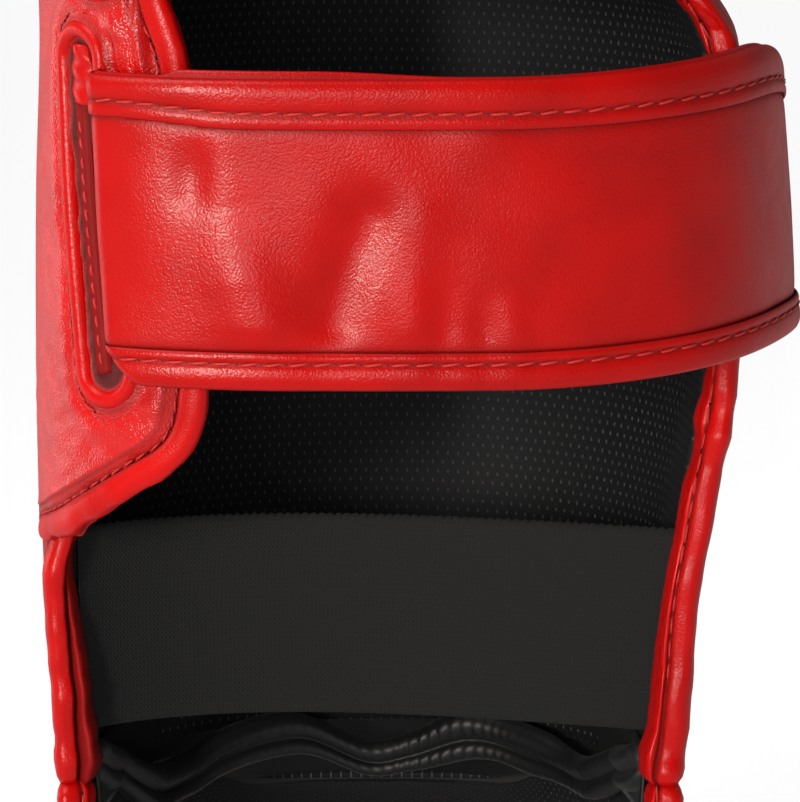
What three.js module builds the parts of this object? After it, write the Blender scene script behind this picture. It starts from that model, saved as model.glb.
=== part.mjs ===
// Shin and instep guard: a padded wall round the front of the shin and over the top of the foot,
// open at the back of the calf, where a soft wing, two wide straps and an elastic band close it.
//
// Millimetres. x runs across the leg, y towards the toes and z up from the floor.
// While it is shaped, the leg's axis is the line x = 0, y = 0. At the end the guard is moved
// so that the origin is on the floor, under the middle of its box.

import * as THREE from "three";

// Clearances
const GAP = 0.4; // between a piece and the one it is sewn to
const SKIN_GAP = 0.3; // between foam and lining
const RIM_GAP = 1.2; // between the twisted rim of the instep and its roll
const FOLD_GAP = 1.2; // round the pieces in the ankle crease

// Heights above the floor
const CREASE_Z = 90; // middle of the ankle crease
const CREASE_HEIGHT = 5;
const SHIN_Z = CREASE_Z + CREASE_HEIGHT / 2;
const SIDE_TOP_Z = 340; // where the side edges start to round over the top
const KNEE_Z = 375;

// Shin wall
const EDGE_ANGLE = 98.3; // degrees from the front of the shin round to each free edge
const BACK_DEPTH = 58; // from the leg's axis to the back of the calf
const BACK_ROUNDING = 2 / 3; // power of the flattened oval behind the leg
const TONGUE_POWER = 2.6;
const EDGE_FOAM = 5.5; // wall thickness at the free edges
const SHIN_FOAM = 18; // wall thickness over the shin bone
const INSTEP_FOAM = 14;
const LINING = 1.5;

// How far the outside of a wall is drawn in at its two ends, as a share of its extra thickness,
// and the share of its length over which that happens
const CREASE_DRAW = 0.45;
const CREASE_SHARE = 0.12;
const END_DRAW = 0.9;
const END_SHARE = 0.15;

// Rolled bindings
const ROLL_SHOULDER = 0.7; // where a roll starts to round over, as a share of its depth
const ROLL_NOSE = 0.55; // width of its blunt nose, as a share of its thickness
const LEFT_ROLL_DROP = 4; // from the wing's lower corner down to the left side's roll
const LEFT_ROLL_STEPS = 4;
const SHIN_ROLL = { depth: 6, half: 3.3, gap: GAP }; // size off the edge, and half its thickness
const RIM_ROLL = { depth: 6, half: 3.3, gap: RIM_GAP };
const WING_ROLL = { depth: 5.2, half: 2.8, gap: GAP };

// Wing and straps, laid out on the leg's unrolled outline
const WING_THICKNESS = 4;
const WING_SEAM = 1; // least distance of the wing's free edge from the wall
const STRAP_THICKNESS = 3;
const STRAP_HEIGHT = 56.5;
const STRAP_EDGE_HEIGHT = 9;
const STRAP_EDGE_EXTRA = 0.7; // how much thicker the folded edge is, on each face
const STRAP_LEAN = 4.5; // how far its upper left corner lies nearer to the wall than its lower one
const STRAP_END = 243;
const STRAP_RISE = 3.5; // how much higher the strap runs at its right end
const RISE_START = 110;
const RISE_END = 180;
const STRAP_TAPER = 0.21; // share of its height that it loses towards its right end
const TAPER_START = 160;
const TAPER_END = 225;
const STRAP_LIFT = 3.5; // distance of the strap from the leg's outline
const FLARE = 3.4; // how far its lower edge stands out at the right side
const FLARE_ROUND = 188;
const FLARE_WIDTH = 18;

// Anchor welt round a strap's root
const WELT_RADIUS = 1.5; // across the ridge
const WELT_RISE = 1.1; // half its height
const WELT_HALF_WIDTH = 5.6;
const WELT_OFFSET = -3; // from the strap's root to the welt's middle
const WELT_LEAN = 8; // how far it leans towards the wall over the strap's height
const WELT_BELOW = 5; // below and above the strap's edges
const WELT_ABOVE = 7;

// Loop patches under the straps' ends
const PATCH_THICKNESS = 1.3;
const PATCH_LIFT = 0.8;
const PATCH_START = 204;
const PATCH_END = 249;
const PATCH_MARGIN = 4;

// Elastic band
const ELASTIC_Z = 99.6;
const ELASTIC_HEIGHT = 39.5;
const ELASTIC_THICKNESS = 1.5;
const ELASTIC_Y = -19; // where its ends are sewn
const ELASTIC_BOW = 19; // how far its middle sags into the guard
const ELASTIC_SKEW = 0.7;
const ELASTIC_CLEARANCE = 1.2; // from its ends to the rolls beside them
const ELASTIC_TURN = 3; // degrees past the wall's edges where it is sewn

// Gathered roll at the ankle
const ANKLE_ROLL_RADIUS = 2.4;
const ANKLE_ROLL_ANGLE = 94;
const GUSSET_THICKNESS = 2;

// Toe
const TOE_SIDE = 0.8; // share of the instep's length reached by its side edges

// Cross-sections of the shin, outside, from the ankle up.
const LEG_SECTIONS = [
  { z: 88, left: 63.3, right: 58.8, front: 60 },
  { z: 106, left: 64.2, right: 60.8, front: 61 },
  { z: 124, left: 65.6, right: 62, front: 62 },
  { z: 146, left: 66, right: 65.6, front: 63 },
  { z: 170, left: 66.2, right: 69.4, front: 64 },
  { z: 205, left: 65.8, right: 70.2, front: 65 },
  { z: 233, left: 64.8, right: 68.4, front: 66 },
  { z: 247, left: 65, right: 61.5, front: 66 },
  { z: 268, left: 65.6, right: 67.4, front: 67 },
  { z: 320, left: 65, right: 67, front: 67 },
  { z: 376, left: 64, right: 64, front: 66 },
];

// Arches of the instep, outside, from the ankle crease to the toes.
const INSTEP_SECTIONS = [
  { at: 0, rimY: -16, rimZ: 87.5, crownY: 60, crownZ: 87.5, left: 62.4, right: 58.4 },
  { at: 0.13, rimY: -16, rimZ: 60, crownY: 70, crownZ: 85, left: 61.5, right: 59 },
  { at: 0.26, rimY: -14, rimZ: 32, crownY: 84, crownZ: 79, left: 60.5, right: 59.5 },
  { at: 0.38, rimY: -5, rimZ: 10, crownY: 99, crownZ: 71, left: 60, right: 60 },
  { at: 0.46, rimY: 8, rimZ: 4.5, crownY: 110, crownZ: 65, left: 59, right: 59 },
  { at: 0.6, rimY: 38, rimZ: 4.5, crownY: 127, crownZ: 55, left: 57, right: 57 },
  { at: 0.8, rimY: 78, rimZ: 4.5, crownY: 147, crownZ: 43, left: 53.5, right: 53.5 },
  { at: 1, rimY: 116, rimZ: 4.5, crownY: 165, crownZ: 32, left: 49, right: 49 },
];
const ARCH_ROUNDING = 0.83; // power of the instep's arches

// Free edge of the wing: distance round from the left edge of the wall, and height.
const WING_OUTLINE = [
  { round: 1, z: 139 },
  { round: 22, z: 142.5 },
  { round: 42, z: 152.5 },
  { round: 53.5, z: 161 },
  { round: 57, z: 175 },
  { round: 57, z: 205 },
  { round: 52.5, z: 233 },
  { round: 47.8, z: 248 },
  { round: 52, z: 260 },
  { round: 54.5, z: 285 },
  { round: 52.5, z: 313 },
  { round: 44, z: 325 },
  { round: 23, z: 333 },
  { round: 1, z: 337 },
];

// The two straps: lower edge, and distance round from the wall's left edge to the lower left corner.
const STRAPS = [
  { level: "lower", bottom: 175, root: 39.5 },
  { level: "upper", bottom: 250, root: 37 },
];

// Soft dents in a strap: distance round, height above its lower edge, half sizes and depth.
const STRAP_DENTS = [
  { round: 53, up: 37, wide: 7, tall: 16, depth: 1.8 },
  { round: 67, up: 19, wide: 7, tall: 15, depth: 2 },
  { round: 85, up: 16, wide: 6, tall: 12, depth: 1.6 },
  { round: 101, up: 18, wide: 6, tall: 13, depth: 1.8 },
  { round: 115, up: 14, wide: 5, tall: 10, depth: 1.2 },
];

// Waves of the gathered ankle roll, from the left side round the front to the right side.
const ANKLE_WAVES = [
  { angle: -94, z: 94 },
  { angle: -74, z: 83 },
  { angle: -42, z: 89.5 },
  { angle: -22, z: 90 },
  { angle: 2, z: 82.5 },
  { angle: 24, z: 90 },
  { angle: 68, z: 82.5 },
  { angle: 94, z: 91 },
];

// Facets along each piece
const SHIN_COLUMNS = 18;
const SHIN_ROWS = 21;
const INSTEP_COLUMNS = 16;
const INSTEP_ROWS = 12;
const STRAP_STEPS = 32;
const STRAP_ROWS = 5;
const WING_STEPS = 26;
const WING_COLUMNS = 6;
const WELT_END_STEPS = 8;
const WELT_SIDE_STEPS = 4;
const WELT_SIDES = 6;
const ELASTIC_STEPS = 18;
const ELASTIC_ROWS = 2;
const ANKLE_STEPS = 30;
const ANKLE_SIDES = 8;
const PATCH_STEPS = 6;

// Steps over which a surface's direction is measured
const ANGLE_STEP = 0.5; // degrees
const SHARE_STEP = 0.004;

// Finishes
const LEATHER = { color: 0xc9140f, roughness: 0.45 };
const BINDING = { color: 0xb3100c, roughness: 0.4 };
const MESH_LINING = { color: 0x161617, roughness: 0.8 };
const ELASTIC = { color: 0x252526, roughness: 0.9 };
const LOOP_PILE = { color: 0x252526, roughness: 0.95 };
const ANKLE_FABRIC = { color: 0x161617, roughness: 0.5 };

const degrees = THREE.MathUtils.degToRad;
const { lerp, smoothstep } = THREE.MathUtils;

// Smooth curve through one column of a table, read at any value of its key column.
function column(table, key, name) {
  const last = table.length - 1;
  const slope = (i) => {
    const before = table[Math.max(i - 1, 0)];
    const after = table[Math.min(i + 1, last)];
    return (after[name] - before[name]) / (after[key] - before[key]);
  };
  return (at) => {
    const inside = THREE.MathUtils.clamp(at, table[0][key], table[last][key]);
    const found = table.findIndex((row) => row[key] >= inside);
    const i = Math.max(found - 1, 0);
    const span = table[i + 1][key] - table[i][key];
    const t = (inside - table[i][key]) / span;
    const start = table[i][name];
    const end = table[i + 1][name];
    const bend = t * (1 - t) * span;
    const straight = lerp(start, end, t * t * (3 - 2 * t));
    return straight + bend * ((1 - t) * slope(i) - t * slope(i + 1));
  };
}

// Closed solid from vertices and faces, turned so that its faces point out.
function closedGeometry(points, faces) {
  const triangles = faces.flatMap((face) => face.slice(2).map((corner, i) => [face[0], face[i + 1], corner]));
  const volume = triangles.reduce((sum, [a, b, c]) => {
    return sum + points[a].dot(points[b].clone().cross(points[c]));
  }, 0);
  const outward = volume > 0 ? triangles : triangles.map(([a, b, c]) => [a, c, b]);
  const geometry = new THREE.BufferGeometry();
  geometry.setFromPoints(points);
  geometry.setIndex(outward.flat());
  geometry.computeVertexNormals();
  return geometry;
}

// Wall between two surfaces over the same grid; each surface takes u and v from 0 to 1.
function wallGeometry(columns, rows, inside, outside) {
  const points = [];
  for (const surface of [inside, outside]) {
    for (let j = 0; j <= rows; j += 1) {
      for (let i = 0; i <= columns; i += 1) points.push(surface(i / columns, j / rows));
    }
  }
  const layer = (columns + 1) * (rows + 1);
  const at = (i, j, side) => side * layer + j * (columns + 1) + i;
  const faces = [];
  for (let j = 0; j < rows; j += 1) {
    for (let i = 0; i < columns; i += 1) {
      faces.push([at(i, j, 0), at(i, j + 1, 0), at(i + 1, j + 1, 0), at(i + 1, j, 0)]);
      faces.push([at(i, j, 1), at(i + 1, j, 1), at(i + 1, j + 1, 1), at(i, j + 1, 1)]);
    }
  }
  for (let i = 0; i < columns; i += 1) {
    faces.push([at(i, 0, 0), at(i + 1, 0, 0), at(i + 1, 0, 1), at(i, 0, 1)]);
    faces.push([at(i, rows, 0), at(i, rows, 1), at(i + 1, rows, 1), at(i + 1, rows, 0)]);
  }
  for (let j = 0; j < rows; j += 1) {
    faces.push([at(0, j, 0), at(0, j, 1), at(0, j + 1, 1), at(0, j + 1, 0)]);
    faces.push([at(columns, j, 0), at(columns, j + 1, 0), at(columns, j + 1, 1), at(columns, j, 1)]);
  }
  return closedGeometry(points, faces);
}

// Solid through a row of like sections; a ring closes on itself, otherwise its ends are flat.
function loftGeometry(sections, ring) {
  const sides = sections[0].length;
  const at = (i, k) => (i % sections.length) * sides + (k % sides);
  const faces = [];
  const steps = ring ? sections.length : sections.length - 1;
  for (let i = 0; i < steps; i += 1) {
    for (let k = 0; k < sides; k += 1) faces.push([at(i, k), at(i, k + 1), at(i + 1, k + 1), at(i + 1, k)]);
  }
  if (!ring) {
    const end = sections.length - 1;
    const around = sections[0].map((_, k) => k);
    faces.push(around.map((k) => at(0, k)).reverse());
    faces.push(around.map((k) => at(end, k)));
  }
  return closedGeometry(sections.flat(), faces);
}

const leftWidth = column(LEG_SECTIONS, "z", "left");
const rightWidth = column(LEG_SECTIONS, "z", "right");
const frontDepth = column(LEG_SECTIONS, "z", "front");

// Outline of the leg at a height: angle 0 is the shin bone, 90 the right side, 180 the calf.
function outline(angle, z) {
  const wrapped = THREE.MathUtils.euclideanModulo(angle + 180, 360) - 180;
  const side = Math.sign(wrapped) || 1;
  const turn = degrees(Math.abs(wrapped));
  const width = side < 0 ? leftWidth(z) : rightWidth(z);
  if (turn <= Math.PI / 2) {
    return new THREE.Vector2(side * width * Math.sin(turn), frontDepth(z) * Math.cos(turn));
  }
  const back = turn - Math.PI / 2;
  const across = Math.max(Math.cos(back), 0) ** BACK_ROUNDING;
  return new THREE.Vector2(side * width * across, -BACK_DEPTH * Math.sin(back) ** BACK_ROUNDING);
}

// Level direction that points away from the leg.
function awayFromLeg(angle, z) {
  const along = outline(angle + ANGLE_STEP, z).sub(outline(angle - ANGLE_STEP, z)).normalize();
  return new THREE.Vector3(-along.y, along.x, 0);
}

function legPoint(angle, z, lift) {
  const flat = outline(angle, z);
  return new THREE.Vector3(flat.x, flat.y, z).addScaledVector(awayFromLeg(angle, z), lift);
}

// The outline unrolled: distance round from the left edge of the wall, behind the calf to the right.
class CalfOutline extends THREE.Curve {
  getPoint(t) {
    const flat = outline(this.angle(t), STRAPS[0].bottom + STRAP_HEIGHT / 2);
    return new THREE.Vector3(flat.x, flat.y, 0);
  }

  angle(t) {
    return lerp(360 - EDGE_ANGLE, 0, t);
  }
}
const calf = new CalfOutline();
const calfLength = calf.getLength();

function calfAngle(round) {
  return calf.angle(calf.getUtoTmapping(round / calfLength));
}

function calfPoint(round, z, lift) {
  return legPoint(calfAngle(round), z, lift);
}

// Rounded end of a wall: 1 along its middle, falling to 0 at its two edges.
function tongue(u) {
  return Math.sqrt(Math.max(1 - Math.abs(u) ** TONGUE_POWER, 0));
}

// Columns crowd towards the edges, where the rounded end is steepest.
function crowded(share) {
  return Math.sin(Math.PI * (share - 0.5));
}

function foam(u, thickest) {
  return lerp(EDGE_FOAM, thickest, Math.cos((u * Math.PI) / 2));
}

// How far the outside of a wall is drawn in, towards the crease at v = 0 and its end at v = 1.
function drawnIn(u, v, thickest) {
  const crease = CREASE_DRAW * (1 - smoothstep(v, 0, CREASE_SHARE));
  const end = END_DRAW * smoothstep(v, 1 - END_SHARE, 1);
  return (crease + end) * (foam(u, thickest) - EDGE_FOAM);
}

function wallMiddle(u, v, thickest) {
  return -(foam(u, thickest) + drawnIn(u, v, thickest)) / 2;
}

function shinPoint(u, v, lift) {
  const top = lerp(SIDE_TOP_Z, KNEE_Z, tongue(u));
  return legPoint(u * EDGE_ANGLE, lerp(SHIN_Z, top, v), lift);
}

const instep = Object.fromEntries(
  ["rimY", "rimZ", "crownY", "crownZ", "left", "right"].map((name) => [
    name,
    column(INSTEP_SECTIONS, "at", name),
  ]),
);

// Outside of the instep; across runs from -1, the left rim, over the crown to 1, the right rim.
function instepSurface(along, across) {
  const turn = (Math.abs(across) * Math.PI) / 2;
  const width = across < 0 ? -instep.left(along) : instep.right(along);
  const rise = Math.max(Math.cos(turn), 0) ** ARCH_ROUNDING;
  const x = width * Math.sin(turn) ** ARCH_ROUNDING;
  const y = lerp(instep.rimY(along), instep.crownY(along), rise);
  const z = lerp(instep.rimZ(along), instep.crownZ(along), rise);
  return new THREE.Vector3(x, y, z);
}

function awayFromFoot(along, across) {
  const a = THREE.MathUtils.clamp(along, SHARE_STEP, 1 - SHARE_STEP);
  const c = THREE.MathUtils.clamp(across, -1 + SHARE_STEP, 1 - SHARE_STEP);
  const sideways = instepSurface(a, c + SHARE_STEP).sub(instepSurface(a, c - SHARE_STEP));
  const forward = instepSurface(a + SHARE_STEP, c).sub(instepSurface(a - SHARE_STEP, c));
  return sideways.cross(forward).normalize();
}

function instepPoint(across, v, lift) {
  const along = v * lerp(TOE_SIDE, 1, tongue(across));
  return instepSurface(along, across).addScaledVector(awayFromFoot(along, across), lift);
}

// Rolled binding along an edge, which runs anticlockwise as seen from outside the wall.
// Each stop on the edge has its point and the direction away from the leg. The floor flattens it.
function rollGeometry(stops, { depth, half, gap }) {
  const profile = [
    { out: gap, off: -half },
    { out: gap + ROLL_SHOULDER * depth, off: -half },
    { out: gap + depth, off: -ROLL_NOSE * half },
    { out: gap + depth, off: ROLL_NOSE * half },
    { out: gap + ROLL_SHOULDER * depth, off: half },
    { out: gap, off: half },
  ];
  const sections = stops.map(({ point, away }, i) => {
    const before = stops[Math.max(i - 1, 0)].point;
    const after = stops[Math.min(i + 1, stops.length - 1)].point;
    const out = away.clone().cross(after.clone().sub(before)).normalize();
    return profile.map((corner) => {
      const at = point.clone().addScaledVector(out, corner.out).addScaledVector(away, corner.off);
      at.z = Math.max(at.z, 0);
      return at;
    });
  });
  return loftGeometry(sections, false);
}

const guard = new THREE.Group();

function addPiece(name, geometry, finish) {
  const mesh = new THREE.Mesh(geometry, new THREE.MeshStandardMaterial({ ...finish, metalness: 0 }));
  mesh.name = name;
  guard.add(mesh);
}

// Foam wall and lining of the shin
function shinWall(innerLift, outerLift) {
  const surface = (lift) => (share, v) => {
    const u = crowded(share);
    return shinPoint(u, v, lift(u, v));
  };
  return wallGeometry(SHIN_COLUMNS, SHIN_ROWS, surface(innerLift), surface(outerLift));
}
const shinInside = (u) => -foam(u, SHIN_FOAM);
const shinOutside = (u, v) => -drawnIn(u, v, SHIN_FOAM);
const shinLiningOutside = (u) => shinInside(u) - SKIN_GAP;
const shinLiningInside = (u) => shinLiningOutside(u) - LINING;
addPiece("shin_pad", shinWall(shinInside, shinOutside), LEATHER);
addPiece("shin_lining", shinWall(shinLiningInside, shinLiningOutside), MESH_LINING);

// Rolled edges of the shin: up the right side and over the top, and the left side below the wing
function shinEdgeStop(u, v) {
  const point = shinPoint(u, v, wallMiddle(u, v, SHIN_FOAM));
  return { point, away: awayFromLeg(u * EDGE_ANGLE, point.z) };
}
const rightStops = [];
for (let j = 0; j < SHIN_ROWS; j += 1) rightStops.push(shinEdgeStop(1, j / SHIN_ROWS));
for (let i = 0; i <= SHIN_COLUMNS; i += 1) rightStops.push(shinEdgeStop(-crowded(i / SHIN_COLUMNS), 1));
addPiece("shin_binding_right", rollGeometry(rightStops, SHIN_ROLL), BINDING);

const leftTopZ = WING_OUTLINE[0].z - LEFT_ROLL_DROP;
const leftShare = (leftTopZ - SHIN_Z) / (SIDE_TOP_Z - SHIN_Z);
const leftStops = [];
for (let j = LEFT_ROLL_STEPS; j >= 0; j -= 1) {
  leftStops.push(shinEdgeStop(-1, (leftShare * j) / LEFT_ROLL_STEPS));
}
addPiece("shin_binding_left", rollGeometry(leftStops, SHIN_ROLL), BINDING);

// Wing: rows fan out from the wall's left edge to the free edge
const wingCurve = new THREE.SplineCurve(WING_OUTLINE.map(({ round, z }) => new THREE.Vector2(round, z)));
const wingEdge = wingCurve.getSpacedPoints(WING_STEPS);
const wingInset = wingEdge.map((place, i) => {
  const before = wingEdge[Math.max(i - 1, 0)];
  const after = wingEdge[Math.min(i + 1, WING_STEPS)];
  const along = after.clone().sub(before).normalize();
  const inset = WING_ROLL.depth + WING_ROLL.gap;
  return new THREE.Vector2(Math.max(place.x - along.y * inset, WING_SEAM), place.y + along.x * inset);
});
const wingTop = wingInset[WING_STEPS].y;
const wingBottom = wingInset[0].y;
function wingSurface(lift) {
  return (share, v) => {
    const free = wingInset[Math.round(v * WING_STEPS)];
    const round = lerp(GAP, free.x, share);
    return calfPoint(round, lerp(lerp(wingBottom, wingTop, v), free.y, share), lift);
  };
}
const wingWall = wallGeometry(WING_COLUMNS, WING_STEPS, wingSurface(-WING_THICKNESS), wingSurface(0));
addPiece("wing", wingWall, LEATHER);

const wingStops = wingInset.map(({ x, y }) => ({
  point: calfPoint(x, y, -WING_THICKNESS / 2),
  away: awayFromLeg(calfAngle(x), y),
}));
addPiece("wing_binding", rollGeometry(wingStops.reverse(), WING_ROLL), BINDING);

// Straps, their folded edges, anchors and loop patches
function strapRoot(strap, up) {
  return strap.root - STRAP_LEAN * (up / STRAP_HEIGHT);
}

function strapLift(round, up) {
  const fade = Math.exp(-(((round - FLARE_ROUND) / FLARE_WIDTH) ** 2));
  const flare = FLARE * (1 - up / STRAP_HEIGHT) * fade;
  const dents = STRAP_DENTS.map((dent) => {
    const across = ((round - dent.round) / dent.wide) ** 2;
    return dent.depth * Math.exp(-across - ((up - dent.up) / dent.tall) ** 2);
  });
  return STRAP_LIFT + flare - dents.reduce((sum, depth) => sum + depth, 0);
}

function strapPoint(strap, share, up, proud) {
  const round = lerp(strapRoot(strap, up), STRAP_END, share);
  const rise = STRAP_RISE * smoothstep(round, RISE_START, RISE_END);
  const height = up * (1 - STRAP_TAPER * smoothstep(round, TAPER_START, TAPER_END));
  return calfPoint(round, strap.bottom + rise + height, strapLift(round, up) + proud);
}

function strapBand(strap, from, to, rows, extra) {
  const face = (proud) => (share, v) => strapPoint(strap, share, lerp(from, to, v), proud);
  return wallGeometry(STRAP_STEPS, rows, face(-extra), face(STRAP_THICKNESS + extra));
}

function weltSections(strap) {
  const low = strap.bottom - WELT_BELOW + WELT_HALF_WIDTH;
  const high = strap.bottom + STRAP_HEIGHT + WELT_ABOVE - WELT_HALF_WIDTH;
  const path = [];
  for (const [centre, turn] of [[high, 0], [low, Math.PI]]) {
    for (let k = 0; k <= WELT_END_STEPS; k += 1) {
      const angle = turn + (Math.PI * k) / WELT_END_STEPS;
      path.push({ side: Math.cos(angle) * WELT_HALF_WIDTH, z: centre + Math.sin(angle) * WELT_HALF_WIDTH });
    }
    const side = turn === 0 ? -WELT_HALF_WIDTH : WELT_HALF_WIDTH;
    const far = turn === 0 ? low : high;
    for (let k = 1; k < WELT_SIDE_STEPS; k += 1) {
      path.push({ side, z: lerp(centre, far, k / WELT_SIDE_STEPS) });
    }
  }
  const places = path.map(({ side, z }) => {
    const lean = (WELT_LEAN * (z - strap.bottom)) / STRAP_HEIGHT;
    return { round: strap.root + WELT_OFFSET - lean + side, z };
  });
  return places.map((place, i) => {
    const before = places[(i + places.length - 1) % places.length];
    const after = places[(i + 1) % places.length];
    const centre = calfPoint(place.round, place.z, WELT_RISE + GAP / 2);
    const away = awayFromLeg(calfAngle(place.round), place.z);
    const along = calfPoint(after.round, after.z, 0).sub(calfPoint(before.round, before.z, 0)).normalize();
    const across = along.clone().cross(away).normalize();
    return Array.from({ length: WELT_SIDES }, (_, k) => {
      const angle = (2 * Math.PI * k) / WELT_SIDES;
      const point = centre.clone().addScaledVector(across, WELT_RADIUS * Math.cos(angle));
      return point.addScaledVector(away, WELT_RISE * Math.sin(angle));
    });
  });
}

function loopPatch(strap) {
  const top = STRAP_HEIGHT * (1 - STRAP_TAPER) - PATCH_MARGIN;
  const z = (v) => strap.bottom + STRAP_RISE + lerp(PATCH_MARGIN, top, v);
  const face = (lift) => (share, v) => calfPoint(lerp(PATCH_START, PATCH_END, share), z(v), lift);
  return wallGeometry(PATCH_STEPS, STRAP_ROWS, face(PATCH_LIFT), face(PATCH_LIFT + PATCH_THICKNESS));
}

for (const strap of STRAPS) {
  const { level } = strap;
  const innerTop = STRAP_HEIGHT - STRAP_EDGE_HEIGHT;
  const core = strapBand(strap, STRAP_EDGE_HEIGHT + GAP, innerTop - GAP, STRAP_ROWS, 0);
  const bottomEdge = strapBand(strap, 0, STRAP_EDGE_HEIGHT, 1, STRAP_EDGE_EXTRA);
  const topEdge = strapBand(strap, innerTop, STRAP_HEIGHT, 1, STRAP_EDGE_EXTRA);
  addPiece(`${level}_anchor`, loftGeometry(weltSections(strap), true), BINDING);
  addPiece(`${level}_strap`, core, LEATHER);
  addPiece(`${level}_strap_bottom_edge`, bottomEdge, BINDING);
  addPiece(`${level}_strap_top_edge`, topEdge, BINDING);
  addPiece(`${level}_patch`, loopPatch(strap), LOOP_PILE);
}

// Elastic band, sewn inside the two edges and sagging into the guard
function elasticSurface(proud) {
  return (share, v) => {
    const sag = Math.sin(Math.PI * share ** ELASTIC_SKEW);
    const z = ELASTIC_Z + v * ELASTIC_HEIGHT;
    const left = -outlineInside(-EDGE_ANGLE - ELASTIC_TURN, z);
    const right = outlineInside(EDGE_ANGLE + ELASTIC_TURN, z);
    return new THREE.Vector3(lerp(left, right, share), ELASTIC_Y + ELASTIC_BOW * sag + proud, z);
  };
}
function outlineInside(angle, z) {
  return Math.abs(outline(angle, z).x) - EDGE_FOAM / 2 - SHIN_ROLL.half - ELASTIC_CLEARANCE;
}
const elasticFront = elasticSurface(0);
const elasticBack = elasticSurface(-ELASTIC_THICKNESS);
addPiece("elastic_band", wallGeometry(ELASTIC_STEPS, ELASTIC_ROWS, elasticFront, elasticBack), ELASTIC);

// Ankle: the gathered roll inside and the gusset that joins shin and instep
const ankleWave = column(ANKLE_WAVES, "angle", "z");
const ankleSections = [];
for (let i = 0; i <= ANKLE_STEPS; i += 1) {
  const angle = lerp(-ANKLE_ROLL_ANGLE, ANKLE_ROLL_ANGLE, i / ANKLE_STEPS);
  const inset = foam(angle / EDGE_ANGLE, SHIN_FOAM) + LINING + SKIN_GAP + ANKLE_ROLL_RADIUS + FOLD_GAP;
  const centre = legPoint(angle, ankleWave(angle), -inset);
  const away = awayFromLeg(angle, ankleWave(angle));
  ankleSections.push(
    Array.from({ length: ANKLE_SIDES }, (_, k) => {
      const turn = (2 * Math.PI * k) / ANKLE_SIDES;
      const point = centre.clone().addScaledVector(away, ANKLE_ROLL_RADIUS * Math.cos(turn));
      point.z += ANKLE_ROLL_RADIUS * Math.sin(turn);
      return point;
    }),
  );
}
addPiece("ankle_roll", loftGeometry(ankleSections, false), ANKLE_FABRIC);

function gussetSurface(proud) {
  const margin = FOLD_GAP / CREASE_HEIGHT;
  return (share, v) => {
    const u = crowded(share);
    const above = shinPoint(u, 0, wallMiddle(u, 0, SHIN_FOAM) + proud);
    const below = instepPoint(u, 0, wallMiddle(u, 0, INSTEP_FOAM) + proud);
    return above.lerp(below, lerp(margin, 1 - margin, v));
  };
}
const gussetInside = gussetSurface(-GUSSET_THICKNESS / 2);
const gussetOutside = gussetSurface(GUSSET_THICKNESS / 2);
addPiece("ankle_gusset", wallGeometry(SHIN_COLUMNS, 1, gussetInside, gussetOutside), LEATHER);

// Foam wall, lining and rolled edge of the instep
function instepWall(innerLift, outerLift) {
  const surface = (lift) => (share, v) => {
    const across = crowded(share);
    return instepPoint(across, v, lift(across, v));
  };
  return wallGeometry(INSTEP_COLUMNS, INSTEP_ROWS, surface(innerLift), surface(outerLift));
}
const instepInside = (u) => -foam(u, INSTEP_FOAM);
const instepOutside = (u, v) => -drawnIn(u, v, INSTEP_FOAM);
const instepLiningOutside = (u) => instepInside(u) - SKIN_GAP;
const instepLiningInside = (u) => instepLiningOutside(u) - LINING;
addPiece("instep_pad", instepWall(instepInside, instepOutside), LEATHER);
addPiece("instep_lining", instepWall(instepLiningInside, instepLiningOutside), MESH_LINING);

function instepEdgeStop(across, v) {
  const along = v * lerp(TOE_SIDE, 1, tongue(across));
  const point = instepPoint(across, v, wallMiddle(across, v, INSTEP_FOAM));
  return { point, away: awayFromFoot(along, across) };
}
const rimStops = [];
for (let j = 0; j < INSTEP_ROWS; j += 1) rimStops.push(instepEdgeStop(-1, j / INSTEP_ROWS));
for (let i = 0; i <= INSTEP_COLUMNS; i += 1) rimStops.push(instepEdgeStop(crowded(i / INSTEP_COLUMNS), 1));
for (let j = INSTEP_ROWS - 1; j >= 0; j -= 1) rimStops.push(instepEdgeStop(1, j / INSTEP_ROWS));
addPiece("instep_binding", rollGeometry(rimStops, RIM_ROLL), BINDING);

// The origin is on the floor, under the middle of the guard's box.
const box = new THREE.Box3().setFromObject(guard);
const middle = box.getCenter(new THREE.Vector3());
guard.position.set(-middle.x, -middle.y, -box.min.z);

export default guard;
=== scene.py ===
import math

import bpy
import numpy as np
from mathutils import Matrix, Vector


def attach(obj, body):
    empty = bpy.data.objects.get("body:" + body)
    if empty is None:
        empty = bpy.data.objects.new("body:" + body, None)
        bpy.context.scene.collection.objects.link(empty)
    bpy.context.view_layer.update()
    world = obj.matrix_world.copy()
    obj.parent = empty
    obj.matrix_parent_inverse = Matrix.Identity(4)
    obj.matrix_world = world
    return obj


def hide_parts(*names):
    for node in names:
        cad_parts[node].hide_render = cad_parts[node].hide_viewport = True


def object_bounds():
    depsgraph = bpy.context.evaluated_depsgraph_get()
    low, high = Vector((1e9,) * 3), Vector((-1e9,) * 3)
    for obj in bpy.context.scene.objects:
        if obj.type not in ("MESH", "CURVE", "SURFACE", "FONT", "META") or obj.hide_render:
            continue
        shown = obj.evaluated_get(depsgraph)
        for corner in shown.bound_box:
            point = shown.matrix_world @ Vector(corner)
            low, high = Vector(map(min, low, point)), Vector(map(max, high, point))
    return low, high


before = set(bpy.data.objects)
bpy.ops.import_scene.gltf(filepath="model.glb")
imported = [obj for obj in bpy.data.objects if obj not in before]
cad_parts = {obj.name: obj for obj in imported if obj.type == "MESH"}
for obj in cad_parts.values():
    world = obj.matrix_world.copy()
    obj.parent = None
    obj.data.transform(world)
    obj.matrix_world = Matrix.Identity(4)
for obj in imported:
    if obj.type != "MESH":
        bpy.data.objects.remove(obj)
cad_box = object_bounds()

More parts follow.
